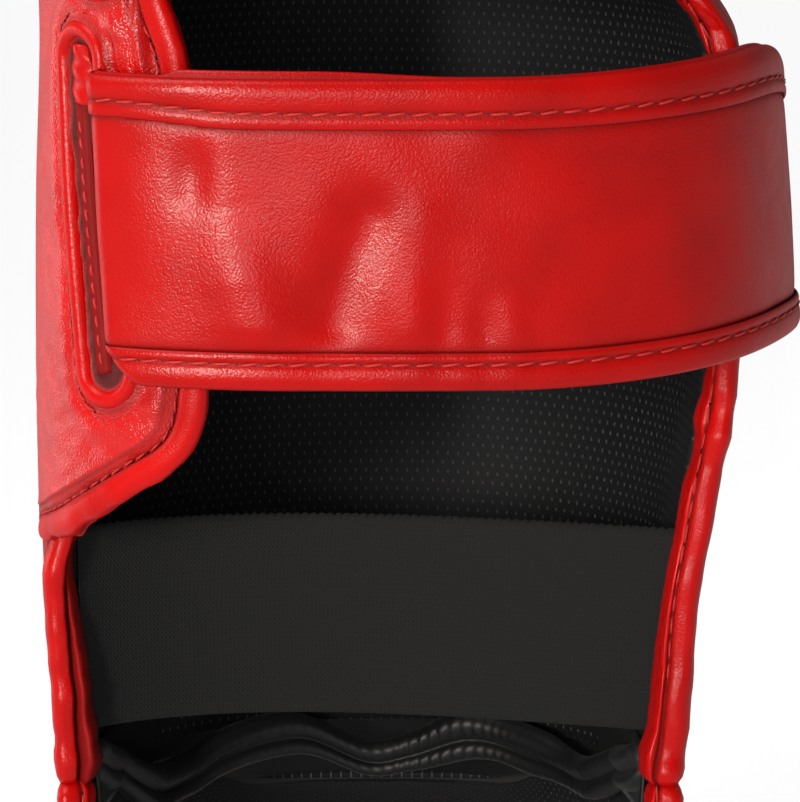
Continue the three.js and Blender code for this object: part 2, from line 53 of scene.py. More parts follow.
# The shin wall
# A slab of foam, thickest over the shin bone, in a cover of red imitation leather that is drawn down
# along its edges. It is moulded round the front of the leg and left open behind. All sizes here are
# millimetres from the leg's axis and the floor.
MM = 0.001
SHIN_Z = 92.5
SIDE_TOP_Z = 340
KNEE_Z = 375
EDGE_ANGLE = 98.3  # degrees from the shin bone round to each free edge
BACK_DEPTH = 58
BACK_ROUNDING = 2 / 3
TONGUE_POWER = 2.6
EDGE_FOAM = 5.5
SHIN_FOAM = 18
CREASE_DRAW = 0.45
CREASE_SHARE = 0.12
END_DRAW = 0.9
END_SHARE = 0.15
SEAM_DIP = 1.6  # how far the cover is drawn down along its seams
SEAM_REACH = 5
# painted shade along the covers' seams, where they are drawn down
SEAM_SHADE = 0.5
FAST_WITHIN = 3  # distance from a seam up to which the cover is held fast to its foam
LOOSE_BEYOND = 14
LOOSE_GRIP = 0.12
SWELL_TRAVEL = 2.5  # furthest that the cover swells
SWELL_FRAMES = 20
STRAP_STANDOFF = 7.2  # from the leg's outline to the outside of the straps' edges
SHIN_COLUMNS = 60
SHIN_ROWS = 72
LEATHER_SHINE = 0.13
LEATHER_PATCHES = 70  # to the metre, like the scales below
LEATHER_CLOUDS = 240
LEATHER_GRAIN = 700
PEBBLES = 2400
PEBBLE_SHIFT = 0.0005
PEBBLE_DEPTH = 0.0002
LEG_SECTIONS = (
    dict(z=88, left=63.3, right=58.8, front=60),
    dict(z=106, left=64.2, right=60.8, front=61),
    dict(z=124, left=65.6, right=62, front=62),
    dict(z=146, left=66, right=65.6, front=63),
    dict(z=170, left=66.2, right=69.4, front=64),
    dict(z=205, left=65.8, right=70.2, front=65),
    dict(z=233, left=64.8, right=68.4, front=66),
    dict(z=247, left=65, right=61.5, front=66),
    dict(z=268, left=65.6, right=67.4, front=67),
    dict(z=320, left=65, right=67, front=67),
    dict(z=376, left=64, right=64, front=66),
)
LEG_LEFT = max(row["left"] for row in LEG_SECTIONS)
cad_low = np.array(cad_box[0]) / MM
leg_axis = np.array([cad_low[0] + LEG_LEFT, cad_low[1] + BACK_DEPTH + STRAP_STANDOFF, 0])


def lerp(start, end, share):
    return start + (end - start) * share


def eased(value, start, end):
    """0 before start and 1 after end, with a soft passage between them."""
    share = np.clip((value - start) / (end - start), 0, 1)
    return share * share * (3 - 2 * share)


def bell(value, middle, width):
    """1 at the middle, falling softly to nothing at about twice the width to each side."""
    return np.exp(-(((value - middle) / width) ** 2))


def unit(vectors):
    return vectors / np.maximum(np.linalg.norm(vectors, axis=-1, keepdims=True), 1e-9)


def along_table(table, key, name):
    """Smooth curve through one column of a table, read at any value of its key column."""
    stops = np.array([row[key] for row in table], float)
    values = np.array([row[name] for row in table], float)
    before = np.maximum(np.arange(len(stops)) - 1, 0)
    after = np.minimum(np.arange(len(stops)) + 1, len(stops) - 1)
    slopes = (values[after] - values[before]) / (stops[after] - stops[before])

    def read(at):
        inside = np.clip(at, stops[0], stops[-1])
        i = np.clip(np.searchsorted(stops, inside) - 1, 0, len(stops) - 2)
        span = stops[i + 1] - stops[i]
        t = (inside - stops[i]) / span
        straight = lerp(values[i], values[i + 1], t * t * (3 - 2 * t))
        return straight + t * (1 - t) * span * ((1 - t) * slopes[i] - t * slopes[i + 1])

    return read


leg_left = along_table(LEG_SECTIONS, "z", "left")
leg_right = along_table(LEG_SECTIONS, "z", "right")
leg_front = along_table(LEG_SECTIONS, "z", "front")


def leg_outline(angle, z):
    """The leg's outline at a height: angle 0 is the shin bone, 90 the right side, 180 the calf."""
    wrapped = (angle + 180) % 360 - 180
    side = np.where(wrapped < 0, -1, 1)
    turn = np.radians(np.abs(wrapped))
    width = side * np.where(side < 0, leg_left(z), leg_right(z))
    back = np.clip(turn - np.pi / 2, 0, np.pi / 2)
    across = np.where(turn > np.pi / 2, np.maximum(np.cos(back), 0) ** BACK_ROUNDING, np.sin(turn))
    behind = -BACK_DEPTH * np.sin(back) ** BACK_ROUNDING
    return np.stack([width * across, np.where(turn > np.pi / 2, behind, leg_front(z) * np.cos(turn))], -1)


def away_from_leg(angle, z):
    step = 0.5
    along = unit(leg_outline(angle + step, z) - leg_outline(angle - step, z))
    return np.stack([-along[..., 1], along[..., 0], np.zeros(along.shape[:-1])], -1)


def leg_point(angle, z, lift):
    angle, z, lift = np.broadcast_arrays(angle, z, lift)
    level = np.concatenate([leg_outline(angle, z), z[..., None]], -1)
    return level + away_from_leg(angle, z) * lift[..., None]


def tongue(u):
    """Rounded end of a wall: 1 along its middle, falling to 0 at its two edges."""
    return np.sqrt(np.maximum(1 - np.abs(u) ** TONGUE_POWER, 0))


def foam(u, thickest):
    return lerp(EDGE_FOAM, thickest, np.cos(u * np.pi / 2))


def drawn_in(u, v, thickest):
    """How far the outside of a wall is drawn in, towards the ankle fold and towards its end."""
    crease = CREASE_DRAW * (1 - eased(v, 0, CREASE_SHARE))
    end = END_DRAW * eased(v, 1 - END_SHARE, 1)
    return (crease + end) * (foam(u, thickest) - EDGE_FOAM)


def wall_middle(u, v, thickest):
    return -(foam(u, thickest) + drawn_in(u, v, thickest)) / 2


def shin_point(u, v, lift):
    top = lerp(SIDE_TOP_Z, KNEE_Z, tongue(u))
    return leg_point(u * EDGE_ANGLE, lerp(SHIN_Z, top, v), lift)


def unevenness(points, size, seed, waves=12):
    """Smooth lumps of about the given size, mostly from -1 to 1."""
    draw = np.random.default_rng(seed)
    directions = unit(draw.normal(size=(waves, points.shape[-1])))
    lengths = size * draw.uniform(0.8, 2, waves)
    phases = draw.uniform(0, 2 * np.pi, waves)
    turns = points @ (directions / lengths[:, None]).T * 2 * np.pi
    return np.sin(turns + phases).sum(-1) / math.sqrt(waves)


def wall_faces(columns, rows):
    """Faces of a closed wall between two grids of points, the inside one first."""
    layer = (columns + 1) * (rows + 1)
    grid = np.arange(layer).reshape(rows + 1, columns + 1)
    low, right, high, left = grid[:-1, :-1], grid[:-1, 1:], grid[1:, 1:], grid[1:, :-1]
    inside = np.stack([low, left, high, right], -1).reshape(-1, 4)
    outside = np.stack([low, right, high, left], -1).reshape(-1, 4) + layer
    rim = np.concatenate([grid[0], grid[1:, -1], grid[-1, -2::-1], grid[-2:0:-1, 0]])
    nearby = np.roll(rim, -1)
    edge = np.stack([rim, nearby, nearby + layer, rim + layer], -1)
    return np.concatenate([inside, outside, edge]).tolist()


def add_piece(name, points, faces, finish, slot, nodes=(), marks=None):
    """A new piece of the guard from points in millimetres, with values kept on its points."""
    points = np.asarray(points, float).reshape(-1, 3)
    mesh = bpy.data.meshes.new(name)
    mesh.from_pydata(((points + leg_axis) * MM).tolist(), [], faces)
    for mark, values in (marks or {}).items():
        kind = "FLOAT_VECTOR" if np.ndim(values) > 1 else "FLOAT"
        layer = mesh.attributes.new(mark, kind, "POINT")
        layer.data.foreach_set("vector" if kind == "FLOAT_VECTOR" else "value", np.ravel(values))
    mesh.update()
    mesh.shade_smooth()
    mesh.materials.append(finish)
    piece = bpy.data.objects.new(name, mesh)
    bpy.context.scene.collection.objects.link(piece)
    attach(piece, "root")
    if nodes:
        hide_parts(*nodes)
    return piece


def add_wall(name, inside, outside, finish, slot, node, crease=None, cloth_mm=None):
    """A wall between two like grids of points. The painted shade of its creases lies on the outside alone.
    """
    marks = {}
    if crease is not None:
        marks["crease"] = np.concatenate([np.zeros(crease.size), crease.ravel()])
    if cloth_mm is not None:
        marks["cloth_mm"] = np.tile(cloth_mm.reshape(-1, 3), (2, 1))
    rows, columns = inside.shape[:2]
    points = np.concatenate([inside.reshape(-1, 3), outside.reshape(-1, 3)])
    return add_piece(name, points, wall_faces(columns - 1, rows - 1), finish, slot, [node], marks)


def new_finish(name):
    finish = bpy.data.materials.new(name)
    finish.use_nodes = True
    return finish, finish.node_tree.nodes["Principled BSDF"]


def wire(finish, node, sockets):
    """Puts a constant, or another node's output, on each of a node's sockets."""
    for socket, value in sockets.items():
        if isinstance(value, bpy.types.NodeSocket):
            finish.node_tree.links.new(value, node.inputs[socket])
        else:
            node.inputs[socket].default_value = value


def add_node(finish, kind, sockets, **settings):
    """A new node of a finish, with its settings made and its sockets filled."""
    node = finish.node_tree.nodes.new("ShaderNode" + kind)
    for name, value in settings.items():
        setattr(node, name, value)
    wire(finish, node, sockets)
    return node


def add_math(finish, operation, *values):
    return add_node(finish, "Math", dict(enumerate(values)), operation=operation).outputs["Value"]


def add_noise(finish, place, scale, detail):
    return add_node(finish, "TexNoise", {"Vector": place, "Scale": scale, "Detail": detail}).outputs


def add_ramp(finish, value, *stops):
    """Colour for a value, from two stops that each have a position and a colour."""
    ramp = add_node(finish, "ValToRGB", {"Fac": value})
    for element, (position, colour) in zip(ramp.color_ramp.elements, stops):
        element.position = position
        element.color = (*colour, 1)
    return ramp.outputs["Color"]


def add_bump(finish, height, strength, depth):
    sockets = {"Height": height, "Strength": strength, "Distance": depth}
    return add_node(finish, "Bump", sockets).outputs["Normal"]


def red_leather(name, lit, deep, gloss, grain, shine=LEATHER_SHINE):
    """Imitation leather: two reds in soft patches, darkened by painted shade and matt in its creases, with
    a pebbled grain.
    """
    finish, shader = new_finish(name)
    place = add_node(finish, "TexCoord", {}).outputs["Object"]
    crease = add_node(finish, "Attribute", {}, attribute_name="crease").outputs["Fac"]
    patches = add_noise(finish, place, LEATHER_PATCHES, 4)["Fac"]
    reds = add_ramp(finish, patches, (0.3, deep), (0.62, lit))
    # Painted shade: the dark red that the leather turns to where its shade mark is full; the same mark also
    # makes it matt.
    painted_shade_red = (deep[0] * 0.16, deep[1] * 0.2, deep[2] * 0.2, 1)
    colour = add_node(finish, "Mix", {"Factor": crease, "A": reds, "B": painted_shade_red}, data_type="RGBA")

    clouds = add_noise(finish, place, LEATHER_CLOUDS, 3)["Fac"]
    mottled = add_node(finish, "MapRange", {"Value": clouds, "To Min": gloss - 0.06, "To Max": gloss + 0.1})
    facing = add_node(finish, "LayerWeight", {"Blend": 0.3}).outputs["Facing"]
    duller = add_math(finish, "MULTIPLY_ADD", facing, 0.4, mottled.outputs["Result"])
    rough = add_math(finish, "MULTIPLY_ADD", crease, 0.5, duller)

    shift = add_noise(finish, place, 900, 2)["Color"]
    shifted = {0: shift, 1: (PEBBLE_SHIFT, PEBBLE_SHIFT, PEBBLE_SHIFT), 2: place}
    bent = add_node(finish, "VectorMath", shifted, operation="MULTIPLY_ADD").outputs["Vector"]
    pebbles = add_node(finish, "TexVoronoi", {"Vector": bent, "Scale": PEBBLES}, feature="SMOOTH_F1")
    hollows = add_math(finish, "MULTIPLY", pebbles.outputs["Distance"], -1)
    fine = add_noise(finish, place, LEATHER_GRAIN, 4)["Fac"]
    height = add_math(finish, "MULTIPLY_ADD", fine, 0.2, hollows)
    sockets = {
        "Base Color": colour.outputs["Result"],
        "Roughness": rough,
        "Specular IOR Level": shine,
        "Normal": add_bump(finish, height, grain, PEBBLE_DEPTH),
    }
    wire(finish, shader, sockets)
    return finish


def stuffed(cover, room):
    """Swells a sewn cover over its foam, by how far each point of its outside is from the nearest seam."""
    outside = lerp(1, LOOSE_GRIP, eased(room, FAST_WITHIN, LOOSE_BEYOND))
    held = np.concatenate([np.ones(room.size), outside.ravel()])
    start = np.empty(len(cover.data.vertices) * 3)
    cover.data.vertices.foreach_get("co", start)
    start = start.reshape(-1, 3)
    grip = cover.vertex_groups.new(name="held")
    for point, share in enumerate(held):
        grip.add([point], float(share), "REPLACE")
    swell = cover.modifiers.new("swell", "CLOTH")
    swell.settings.quality = 6
    swell.settings.mass = 0.3
    swell.settings.tension_stiffness = 20
    swell.settings.compression_stiffness = 20
    swell.settings.shear_stiffness = 10
    swell.settings.bending_stiffness = 1.5
    swell.settings.use_pressure = True
    swell.settings.uniform_pressure_force = 4
    swell.settings.shrink_min = -0.018
    swell.settings.vertex_group_mass = "held"
    swell.settings.pin_stiffness = 1
    swell.settings.effector_weights.gravity = 0
    swell.collision_settings.use_collision = False
    for step in range(1, SWELL_FRAMES + 1):
        bpy.context.scene.frame_set(step)
    shaped = cover.evaluated_get(bpy.context.evaluated_depsgraph_get())
    moved = np.empty(len(start) * 3)
    shaped.data.vertices.foreach_get("co", moved)
    move = moved.reshape(-1, 3) - start
    length = np.linalg.norm(move, axis=1, keepdims=True)
    move *= np.minimum(1, SWELL_TRAVEL * MM / np.maximum(length, 1e-9))
    cover.modifiers.remove(swell)
    bpy.context.scene.frame_set(1)
    cover.data.vertices.foreach_set("co", (start + move).ravel())
    cover.data.update()


def finer(piece):
    smooth = piece.modifiers.new("finer", "SUBSURF")
    smooth.levels = 1
    smooth.render_levels = 1


panel_leather = red_leather(
    "panel_leather", lit=(0.28, 0.001, 0.0004), deep=(0.23, 0.0007, 0.0003), gloss=0.26, grain=0.3
)
shin_u, shin_v = np.meshgrid(np.linspace(-1, 1, SHIN_COLUMNS + 1), np.linspace(0, 1, SHIN_ROWS + 1))
side_room = (1 - np.abs(shin_u)) * np.radians(EDGE_ANGLE) * LEG_LEFT
end_room = np.minimum(shin_v, 1 - shin_v) * (KNEE_Z - SHIN_Z)
shin_room = np.minimum(side_room, end_room)  # distance to the nearest seam
shin_drawn = bell(shin_room, 0, SEAM_REACH)
shin_dip = drawn_in(shin_u, shin_v, SHIN_FOAM) + SEAM_DIP * shin_drawn
shin_cover = add_wall(
    "shin_cover",
    shin_point(shin_u, shin_v, -foam(shin_u, SHIN_FOAM)),
    shin_point(shin_u, shin_v, -shin_dip),
    panel_leather,
    "red_leather",
    "shin_pad",
    crease=SEAM_SHADE * shin_drawn ** 3,
)
stuffed(shin_cover, shin_room)
finer(shin_cover)

# The shin lining
# Black knitted mesh embossed with small staggered dots. It is glued over the inside of the foam and
# caught in the rolled edges all round.
LINING = 1.5
SKIN_GAP = 0.3
LINING_TUCK = 0.014  # share of the wall's height that it goes on below, into the ankle fold
DOT_PITCH = 2.1
DOT_ROWS = 3.8  # two rows of dots
LINING_GROUND = (0.003, 0.003, 0.0032, 1)
# The embossed dots are a lighter grey than the knit: a painted highlight for the glint on their tops
LINING_DOT = (0.036, 0.036, 0.038, 1)
DOT_FOOT = 0.66  # height of the dots' wave where a dot begins, and where it is full
DOT_HEAD = 0.98


def cloth_place(finish):
    """Where a point lies in its flat cloth, in millimetres: its place, and its way across and along."""
    place = add_node(finish, "Attribute", {}, attribute_name="cloth_mm").outputs["Vector"]
    parts = add_node(finish, "SeparateXYZ", {"Vector": place}).outputs
    return place, parts["X"], parts["Y"]


def add_wave(finish, distance, pitch):
    return add_math(finish, "COSINE", add_math(finish, "MULTIPLY", distance, 2 * math.pi / pitch))


def dotted_lining(name):
    finish, shader = new_finish(name)
    place, across, along = cloth_place(finish)
    columns = add_wave(finish, across, DOT_PITCH)
    lattice = add_math(finish, "MULTIPLY", columns, add_wave(finish, along, DOT_ROWS))
    crests = {"Value": lattice, "From Min": DOT_FOOT, "From Max": DOT_HEAD}
    dot = add_node(finish, "MapRange", crests, interpolation_type="SMOOTHSTEP").outputs["Result"]
    colour = {"Factor": dot, "A": LINING_GROUND, "B": LINING_DOT}
    knit = add_noise(finish, place, 3.2, 3)["Fac"]
    height = add_math(finish, "MULTIPLY_ADD", knit, 0.35, dot)
    sockets = {
        "Base Color": add_node(finish, "Mix", colour, data_type="RGBA").outputs["Result"],
        "Roughness": 0.7,
        "Specular IOR Level": 0.14,
        "Normal": add_bump(finish, height, 0.8, 0.0003),
    }
    wire(finish, shader, sockets)
    return finish


def cloth_lengths(grid):
    """Place of each point of a grid in the flat cloth: millimetres across and along."""
    across = np.linalg.norm(np.diff(grid, axis=1), axis=-1).cumsum(1)
    along = np.linalg.norm(np.diff(grid, axis=0), axis=-1).cumsum(0)
    across = np.pad(across, ((0, 0), (1, 0)))
    along = np.pad(along, ((1, 0), (0, 0)))
    middle = across[:, across.shape[1] // 2]
    return np.stack([across - middle[:, None], along, np.zeros_like(along)], -1)


def flat_size(places):
    return np.ptp(places[..., 0]) * MM, np.ptp(places[..., 1]) * MM


lining_mesh = dotted_lining("dotted_lining")
lining_v = lerp(-LINING_TUCK, 1, shin_v)
lining_lift = -foam(shin_u, SHIN_FOAM) - SKIN_GAP
shin_lining_inside = shin_point(shin_u, lining_v, lining_lift - LINING)
shin_lining_mm = cloth_lengths(shin_lining_inside)
shin_lining = add_wall(
    "shin_lining_mesh",
    shin_lining_inside,
    shin_point(shin_u, lining_v, lining_lift),
    lining_mesh,
    "dotted_lining",
    "shin_lining",
    cloth_mm=shin_lining_mm,
)

# The rolled edges of the shin
# Strips of the red leather folded over the wall's edges and sewn down through all layers, so that a
# fat roll stands outside the stitching and a thin lip lies inside it. The right one runs up and over
# the top; the left one ends under the wing.
ROLL_STEP = 1.6
SECTION_STEPS = 3  # from one corner of a section to the next
ROLL_SECTION = (  # out from the wall's edge, off its middle towards the outside, and how deep its painted shade is
    dict(out=0.2, off=1.6, shade=0.7),
    dict(out=1.3, off=2.2, shade=0),
    dict(out=3.2, off=2.45, shade=0),
    dict(out=4.9, off=2.1, shade=0),
    dict(out=5.9, off=1.1, shade=0),
    dict(out=6.1, off=-0.1, shade=0),
    dict(out=5.8, off=-1.5, shade=0.1),
    dict(out=4.9, off=-2.3, shade=0.8),
    dict(out=5.3, off=-2.75, shade=0.1),
    dict(out=5.1, off=-3.3, shade=0),
    dict(out=4.2, off=-3.7, shade=0),
    dict(out=2.4, off=-3.9, shade=0.2),
    dict(out=0.4, off=-4.5, shade=0.7),
)
DITCH = ROLL_SECTION[7]
LEFT_ROLL_TOP = 144
LEFT_LIP_SHADE = 0.5  # painted shade, for its lip is turned into the hollow
CORNER_TURN = 0.014  # share of the wall's height that the right roll goes on down the left edge
LIP_LOW_Z = 92
LIP_HIGH_Z = 165
GROOVE_TURN = 7 / 13  # where the groove lies in the section
ROLL_END = 2.4  # length over which a roll rounds off at its ends
WALL_REACH = 2.8  # how far the shin's and the instep's rolls go on towards each other
STITCH_PITCH = 4.6
STITCH_LENGTH = 3.6
THREAD = 0.27  # radius
NEEDLE_HOLE = 0.42
HOLE_SIDES = 8
THREAD_SIDES = 6
THREAD_STOPS = 7
THREAD_STEP = 0.25
STITCH_SCATTER = 0.25
STITCH_SLANT = 0.12
SLANT_SCATTER = 0.05
HOLE_FLATTENING = 0.6
HOLE_EDGE = -0.12  # its rim lies under the leather, and its middle just shows
HOLE_MIDDLE = 0.06
ROLL_END_SCALE = 0.7
SIDE_STOPS = 240
TOP_STOPS = 200
CORNER_STOPS = 8
LEFT_STOPS = 60
LEFT_TUCK = 2  # how far the left roll is drawn in under the wing's
TUCK_LOW_Z = 132
TUCK_HIGH_Z = 140
LIP_TURNS = (0.55, 0.64, 0.88, 1)  # where the lip begins, is full, falls off and ends in the section
GROOVE_WIDTH = 0.045
FOOT_HEIGHT = 28
TURN_LENGTH = 9  # length round a section, for the puckers
RIGHT_PUCKERS = (  # round a height, over some way up and down, to some depth; the last are all along it
    dict(z=231, way=12, depth=0.09),
    dict(z=163, way=14, depth=0.07),
    dict(z=98, way=12, depth=0.07),
    dict(z=0, way=999, depth=0.028),
)
LEFT_PUCKERS = (
    dict(z=138, way=8, depth=0.1),
    dict(z=96, way=10, depth=0.08),
    dict(z=0, way=999, depth=0.045),
)
binding_leather = red_leather(
    "binding_leather", lit=(0.35, 0.001, 0.0004), deep=(0.29, 0.0007, 0.0003), gloss=0.28, grain=0.26
)


def rounded(corners, steps):
    """Smooth closed line through a table of corners, with that many steps from each to the next."""
    corners = np.array([list(row.values()) for row in corners], float)[:, None, :]
    before, after, beyond = (np.roll(corners, shift, 0) for shift in (1, -1, -2))
    t = np.linspace(0, 1, steps, endpoint=False)[None, :, None]
    bend = before - 2.5 * corners + 2 * after - 0.5 * beyond
    twist = 1.5 * (corners - after) + 0.5 * (beyond - before)
    line = corners + t * (0.5 * (after - before) + t * (bend + t * twist))
    return line.reshape(-1, corners.shape[-1])


def loft_faces(stations, sides, ring=False):
    """Faces of a solid through a row of like closed sections, with flat ends unless it is a ring."""
    grid = np.arange(stations * sides).reshape(stations, sides)
    grid = np.concatenate([grid, grid[:1]]) if ring else grid
    turned = np.roll(grid, -1, 1)
    faces = np.stack([grid[:-1], turned[:-1], turned[1:], grid[1:]], -1).reshape(-1, 4).tolist()
    return faces if ring else [grid[0, ::-1].tolist()] + faces + [grid[-1].tolist()]


def run_along(points):
    """Distance along a line to each of its points."""
    return np.concatenate([[0], np.linalg.norm(np.diff(points, axis=0), axis=1).cumsum()])


def evenly(points, step):
    """Places along a line of points, about one step apart, as fractions of a point's number."""
    run = run_along(points)
    stops = np.linspace(0, run[-1], max(int(run[-1] / step), 2) + 1)
    return np.interp(stops, run, np.arange(len(points))), stops


def between(values, places):
    whole = np.clip(places.astype(int), 0, len(values) - 2)
    return lerp(values[whole], values[whole + 1], (places - whole)[:, None])


def folded_edge(name, body, loop, finish, slot, node):
    """A folded strip through its sections along an edge, with painted shade in its creases."""
    shade = np.broadcast_to(np.clip(loop[:, 2], 0, 1), body.shape[:2])
    faces = loft_faces(*body.shape[:2])
    piece = add_piece(name, body, faces, finish, slot, [node], {"crease": shade.ravel()})


def roll(name, path, away, node, crumple, section=ROLL_SECTION, scale=1.0, reach=(0, 0)):
    """Rolled edge along a path that runs anticlockwise as seen from outside, and on beyond its two ends.

    Returns its stitch line, and the way out from the wall's edge all along it.
    """
    first = path[:1] + unit(path[:1] - path[1:2]) * reach[0]
    last = path[-1:] + unit(path[-1:] - path[-2:-1]) * reach[1]
    path = np.concatenate([first, path, last])
    away = np.concatenate([away[:1], away, away[-1:]])
    places, run = evenly(path, ROLL_STEP)
    path = between(path, places)
    away = unit(between(away, places))
    out = unit(np.cross(away, np.gradient(path, axis=0)))
    loop = rounded(section, SECTION_STEPS)
    turn = np.arange(len(loop))[None, :] / len(loop)
    to_end = np.minimum(run, run[-1] - run)[:, None]
    size = scale * lerp(ROLL_END_SCALE, 1, np.sqrt(np.clip(to_end / ROLL_END, 0, 1)))
    size = size * (1 + crumple(run[:, None], turn, path[:, None, 2]))
    outwards = (size * loop[:, 0])[..., None] * out[:, None]
    body = path[:, None] + outwards + (size * loop[:, 1])[..., None] * away[:, None]
    body[..., 2] = np.maximum(body[..., 2], 0)
    folded_edge(name, body, loop, binding_leather, "red_binding", node)
    return path + scale * (DITCH["out"] * out + DITCH["off"] * away), out


def gathers(seed, puckers, lip=(0, 0), groove=0, foot=0):
    """Small puckers across a roll, by a table.

    Its inner lip grows by two shares, low down and high up, its stitched groove is sunk, and its foot is
    thicker.
    """

    def crumple(run, turn, z):
        here = np.broadcast_to(run, (len(run), turn.shape[1]))
        spot = np.stack([here, TURN_LENGTH * np.broadcast_to(turn, here.shape)], -1)
        deep = sum(row["depth"] * bell(z, row["z"], row["way"]) for row in puckers)
        folded = unevenness(spot * [0.45, 1], 4.5, seed) + 0.5 * unevenness(spot * [0.8, 0.7], 3, seed + 1)
        on_lip = eased(turn, *LIP_TURNS[:2]) * (1 - eased(turn, *LIP_TURNS[2:]))
        grown = on_lip * lerp(*lip, eased(z, LIP_LOW_Z, LIP_HIGH_Z))
        grown = grown + foot * (1 - eased(z, LIP_LOW_Z, LIP_LOW_Z + FOOT_HEIGHT))
        return deep * folded + grown - groove * bell(turn, GROOVE_TURN, GROOVE_WIDTH)

    return crumple


def red_thread(name, colour):
    finish, shader = new_finish(name)
    place = add_node(finish, "TexCoord", {}).outputs["Object"]
    twist = add_noise(finish, place, 3000, 2)["Fac"]
    sockets = {
        "Base Color": (*colour, 1),
        "Roughness": 0.45,
        "Specular IOR Level": 0.12,
        "Normal": add_bump(finish, twist, 0.6, 0.0001),
    }
    wire(finish, shader, sockets)
    return finish


sewing_thread = red_thread("sewing_thread", (0.3, 0.018, 0.015))
# A near-black red for the needle holes: painted shade
needle_shade = red_thread("needle_shade", (0.05, 0.002, 0.002))


def repeated(faces, points, times, start=0):
    """Faces of a row of like bodies of so many points each, whose numbers begin at start."""
    return [[start + points * k + corner for corner in face] for k in range(times) for face in faces]


def stitches(name, line, away, pitch=STITCH_PITCH, length=STITCH_LENGTH, slant=STITCH_SLANT, seed=1):
    """A row of thread stitches along a line, each dipping back into the leather at a needle hole."""
    places, run = evenly(line, THREAD_STEP)
    number = np.arange(len(run))
    line = between(line, places)
    away = unit(between(away, places))
    tangent = unit(np.gradient(line, axis=0))
    draw = np.random.default_rng(seed)
    starts = np.arange(pitch / 2, run[-1] - length, pitch)
    starts = starts + draw.uniform(-STITCH_SCATTER, STITCH_SCATTER, len(starts))
    slants = slant + draw.uniform(-SLANT_SCATTER, SLANT_SCATTER, len(starts))

    share = np.linspace(0, 1, THREAD_STOPS)
    at = np.interp(starts[:, None] + share * length, run, number)
    middle = between(line, at.ravel()).reshape(*at.shape, 3)
    normal = unit(between(away, at.ravel())).reshape(middle.shape)
    along = unit(between(tangent, at.ravel())).reshape(middle.shape)
    aside = np.cross(normal, along)
    lean = slants[:, None] * (share - 0.5) * length
    arch = THREAD * (1.3 * np.sin(np.pi * share) ** 0.6 - 0.6)
    middle = middle + lean[..., None] * aside + arch[None, :, None] * normal
    turn = np.linspace(0, 2 * np.pi, THREAD_SIDES, endpoint=False)
    thick = THREAD * (0.55 + 0.45 * np.sin(np.pi * share) ** 0.5)
    ring = np.cos(turn)[:, None] * aside[:, :, None, :] + np.sin(turn)[:, None] * normal[:, :, None, :]
    threads = (middle[:, :, None, :] + thick[None, :, None, None] * ring).reshape(-1, 3)
    faces = repeated(loft_faces(THREAD_STOPS, THREAD_SIDES), THREAD_STOPS * THREAD_SIDES, len(starts))

    # Each needle hole gets a flat dark disc, painted shade for the hollow in it
    gaps = np.interp(starts - (pitch - length) / 2, run, number)
    pit = between(line, gaps)
    rise = unit(between(away, gaps))
    beside = np.cross(rise, unit(between(tangent, gaps)))
    turn = np.linspace(0, 2 * np.pi, HOLE_SIDES, endpoint=False)[None, :, None]
    rim = np.cos(turn) * np.cross(beside, rise)[:, None] + HOLE_FLATTENING * np.sin(turn) * beside[:, None]
    rim = pit[:, None] + NEEDLE_HOLE * rim + HOLE_EDGE * rise[:, None]
    holes = np.concatenate([rim, (pit + HOLE_MIDDLE * rise)[:, None]], 1).reshape(-1, 3)
    fan = [[side, (side + 1) % HOLE_SIDES, HOLE_SIDES] for side in range(HOLE_SIDES)]
    fan.append(list(range(HOLE_SIDES))[::-1])
    sunk = repeated(fan, HOLE_SIDES + 1, len(pit), start=len(threads))
    piece = add_piece(name, np.concatenate([threads, holes]), faces + sunk, sewing_thread, "red_binding")
    piece.data.materials.append(needle_shade)
    piece.data.polygons.foreach_set("material_index", [0] * len(faces) + [1] * len(sunk))


side_v = np.linspace(0, 1, SIDE_STOPS)
top_u = np.sin(np.pi * (0.5 - np.linspace(0, 1, TOP_STOPS)))
corner_v = np.linspace(1, 1 - CORNER_TURN, CORNER_STOPS)
right_u = np.concatenate([np.ones(SIDE_STOPS - 1), top_u, -np.ones(CORNER_STOPS - 1)])
right_v = np.concatenate([side_v[:-1], np.ones(TOP_STOPS), corner_v[1:]])
right_path = shin_point(right_u, right_v, wall_middle(right_u, right_v, SHIN_FOAM))
right_seam, right_out = roll(
    "right_edge_roll",
    right_path,
    away_from_leg(right_u * EDGE_ANGLE, right_path[:, 2]),
    "shin_binding_right",
    gathers(11, RIGHT_PUCKERS, lip=(0.12, -0.1), foot=0.14),
    reach=(WALL_REACH, 0),
)
stitches("right_edge_stitches", right_seam, right_out, slant=0, seed=12)

# Painted shade on the left roll's inner lip, beyond its groove
left_section = [dict(row) for row in ROLL_SECTION]
for row in left_section:
    if row["off"] < DITCH["off"]:
        row["shade"] += LEFT_LIP_SHADE
left_u = -np.ones(LEFT_STOPS)
left_v = np.linspace((LEFT_ROLL_TOP - SHIN_Z) / (SIDE_TOP_Z - SHIN_Z), 0, LEFT_STOPS)
left_tuck = LEFT_TUCK * eased(lerp(SHIN_Z, SIDE_TOP_Z, left_v), TUCK_LOW_Z, TUCK_HIGH_Z)
left_path = shin_point(left_u, left_v, wall_middle(left_u, left_v, SHIN_FOAM) - left_tuck)
roll(
    "left_edge_roll",
    left_path,
    away_from_leg(left_u * EDGE_ANGLE, left_path[:, 2]),
    "shin_binding_left",
    gathers(21, LEFT_PUCKERS, lip=(0.3, -0.6), groove=0.3),
    section=left_section,
    reach=(0, WALL_REACH),
)

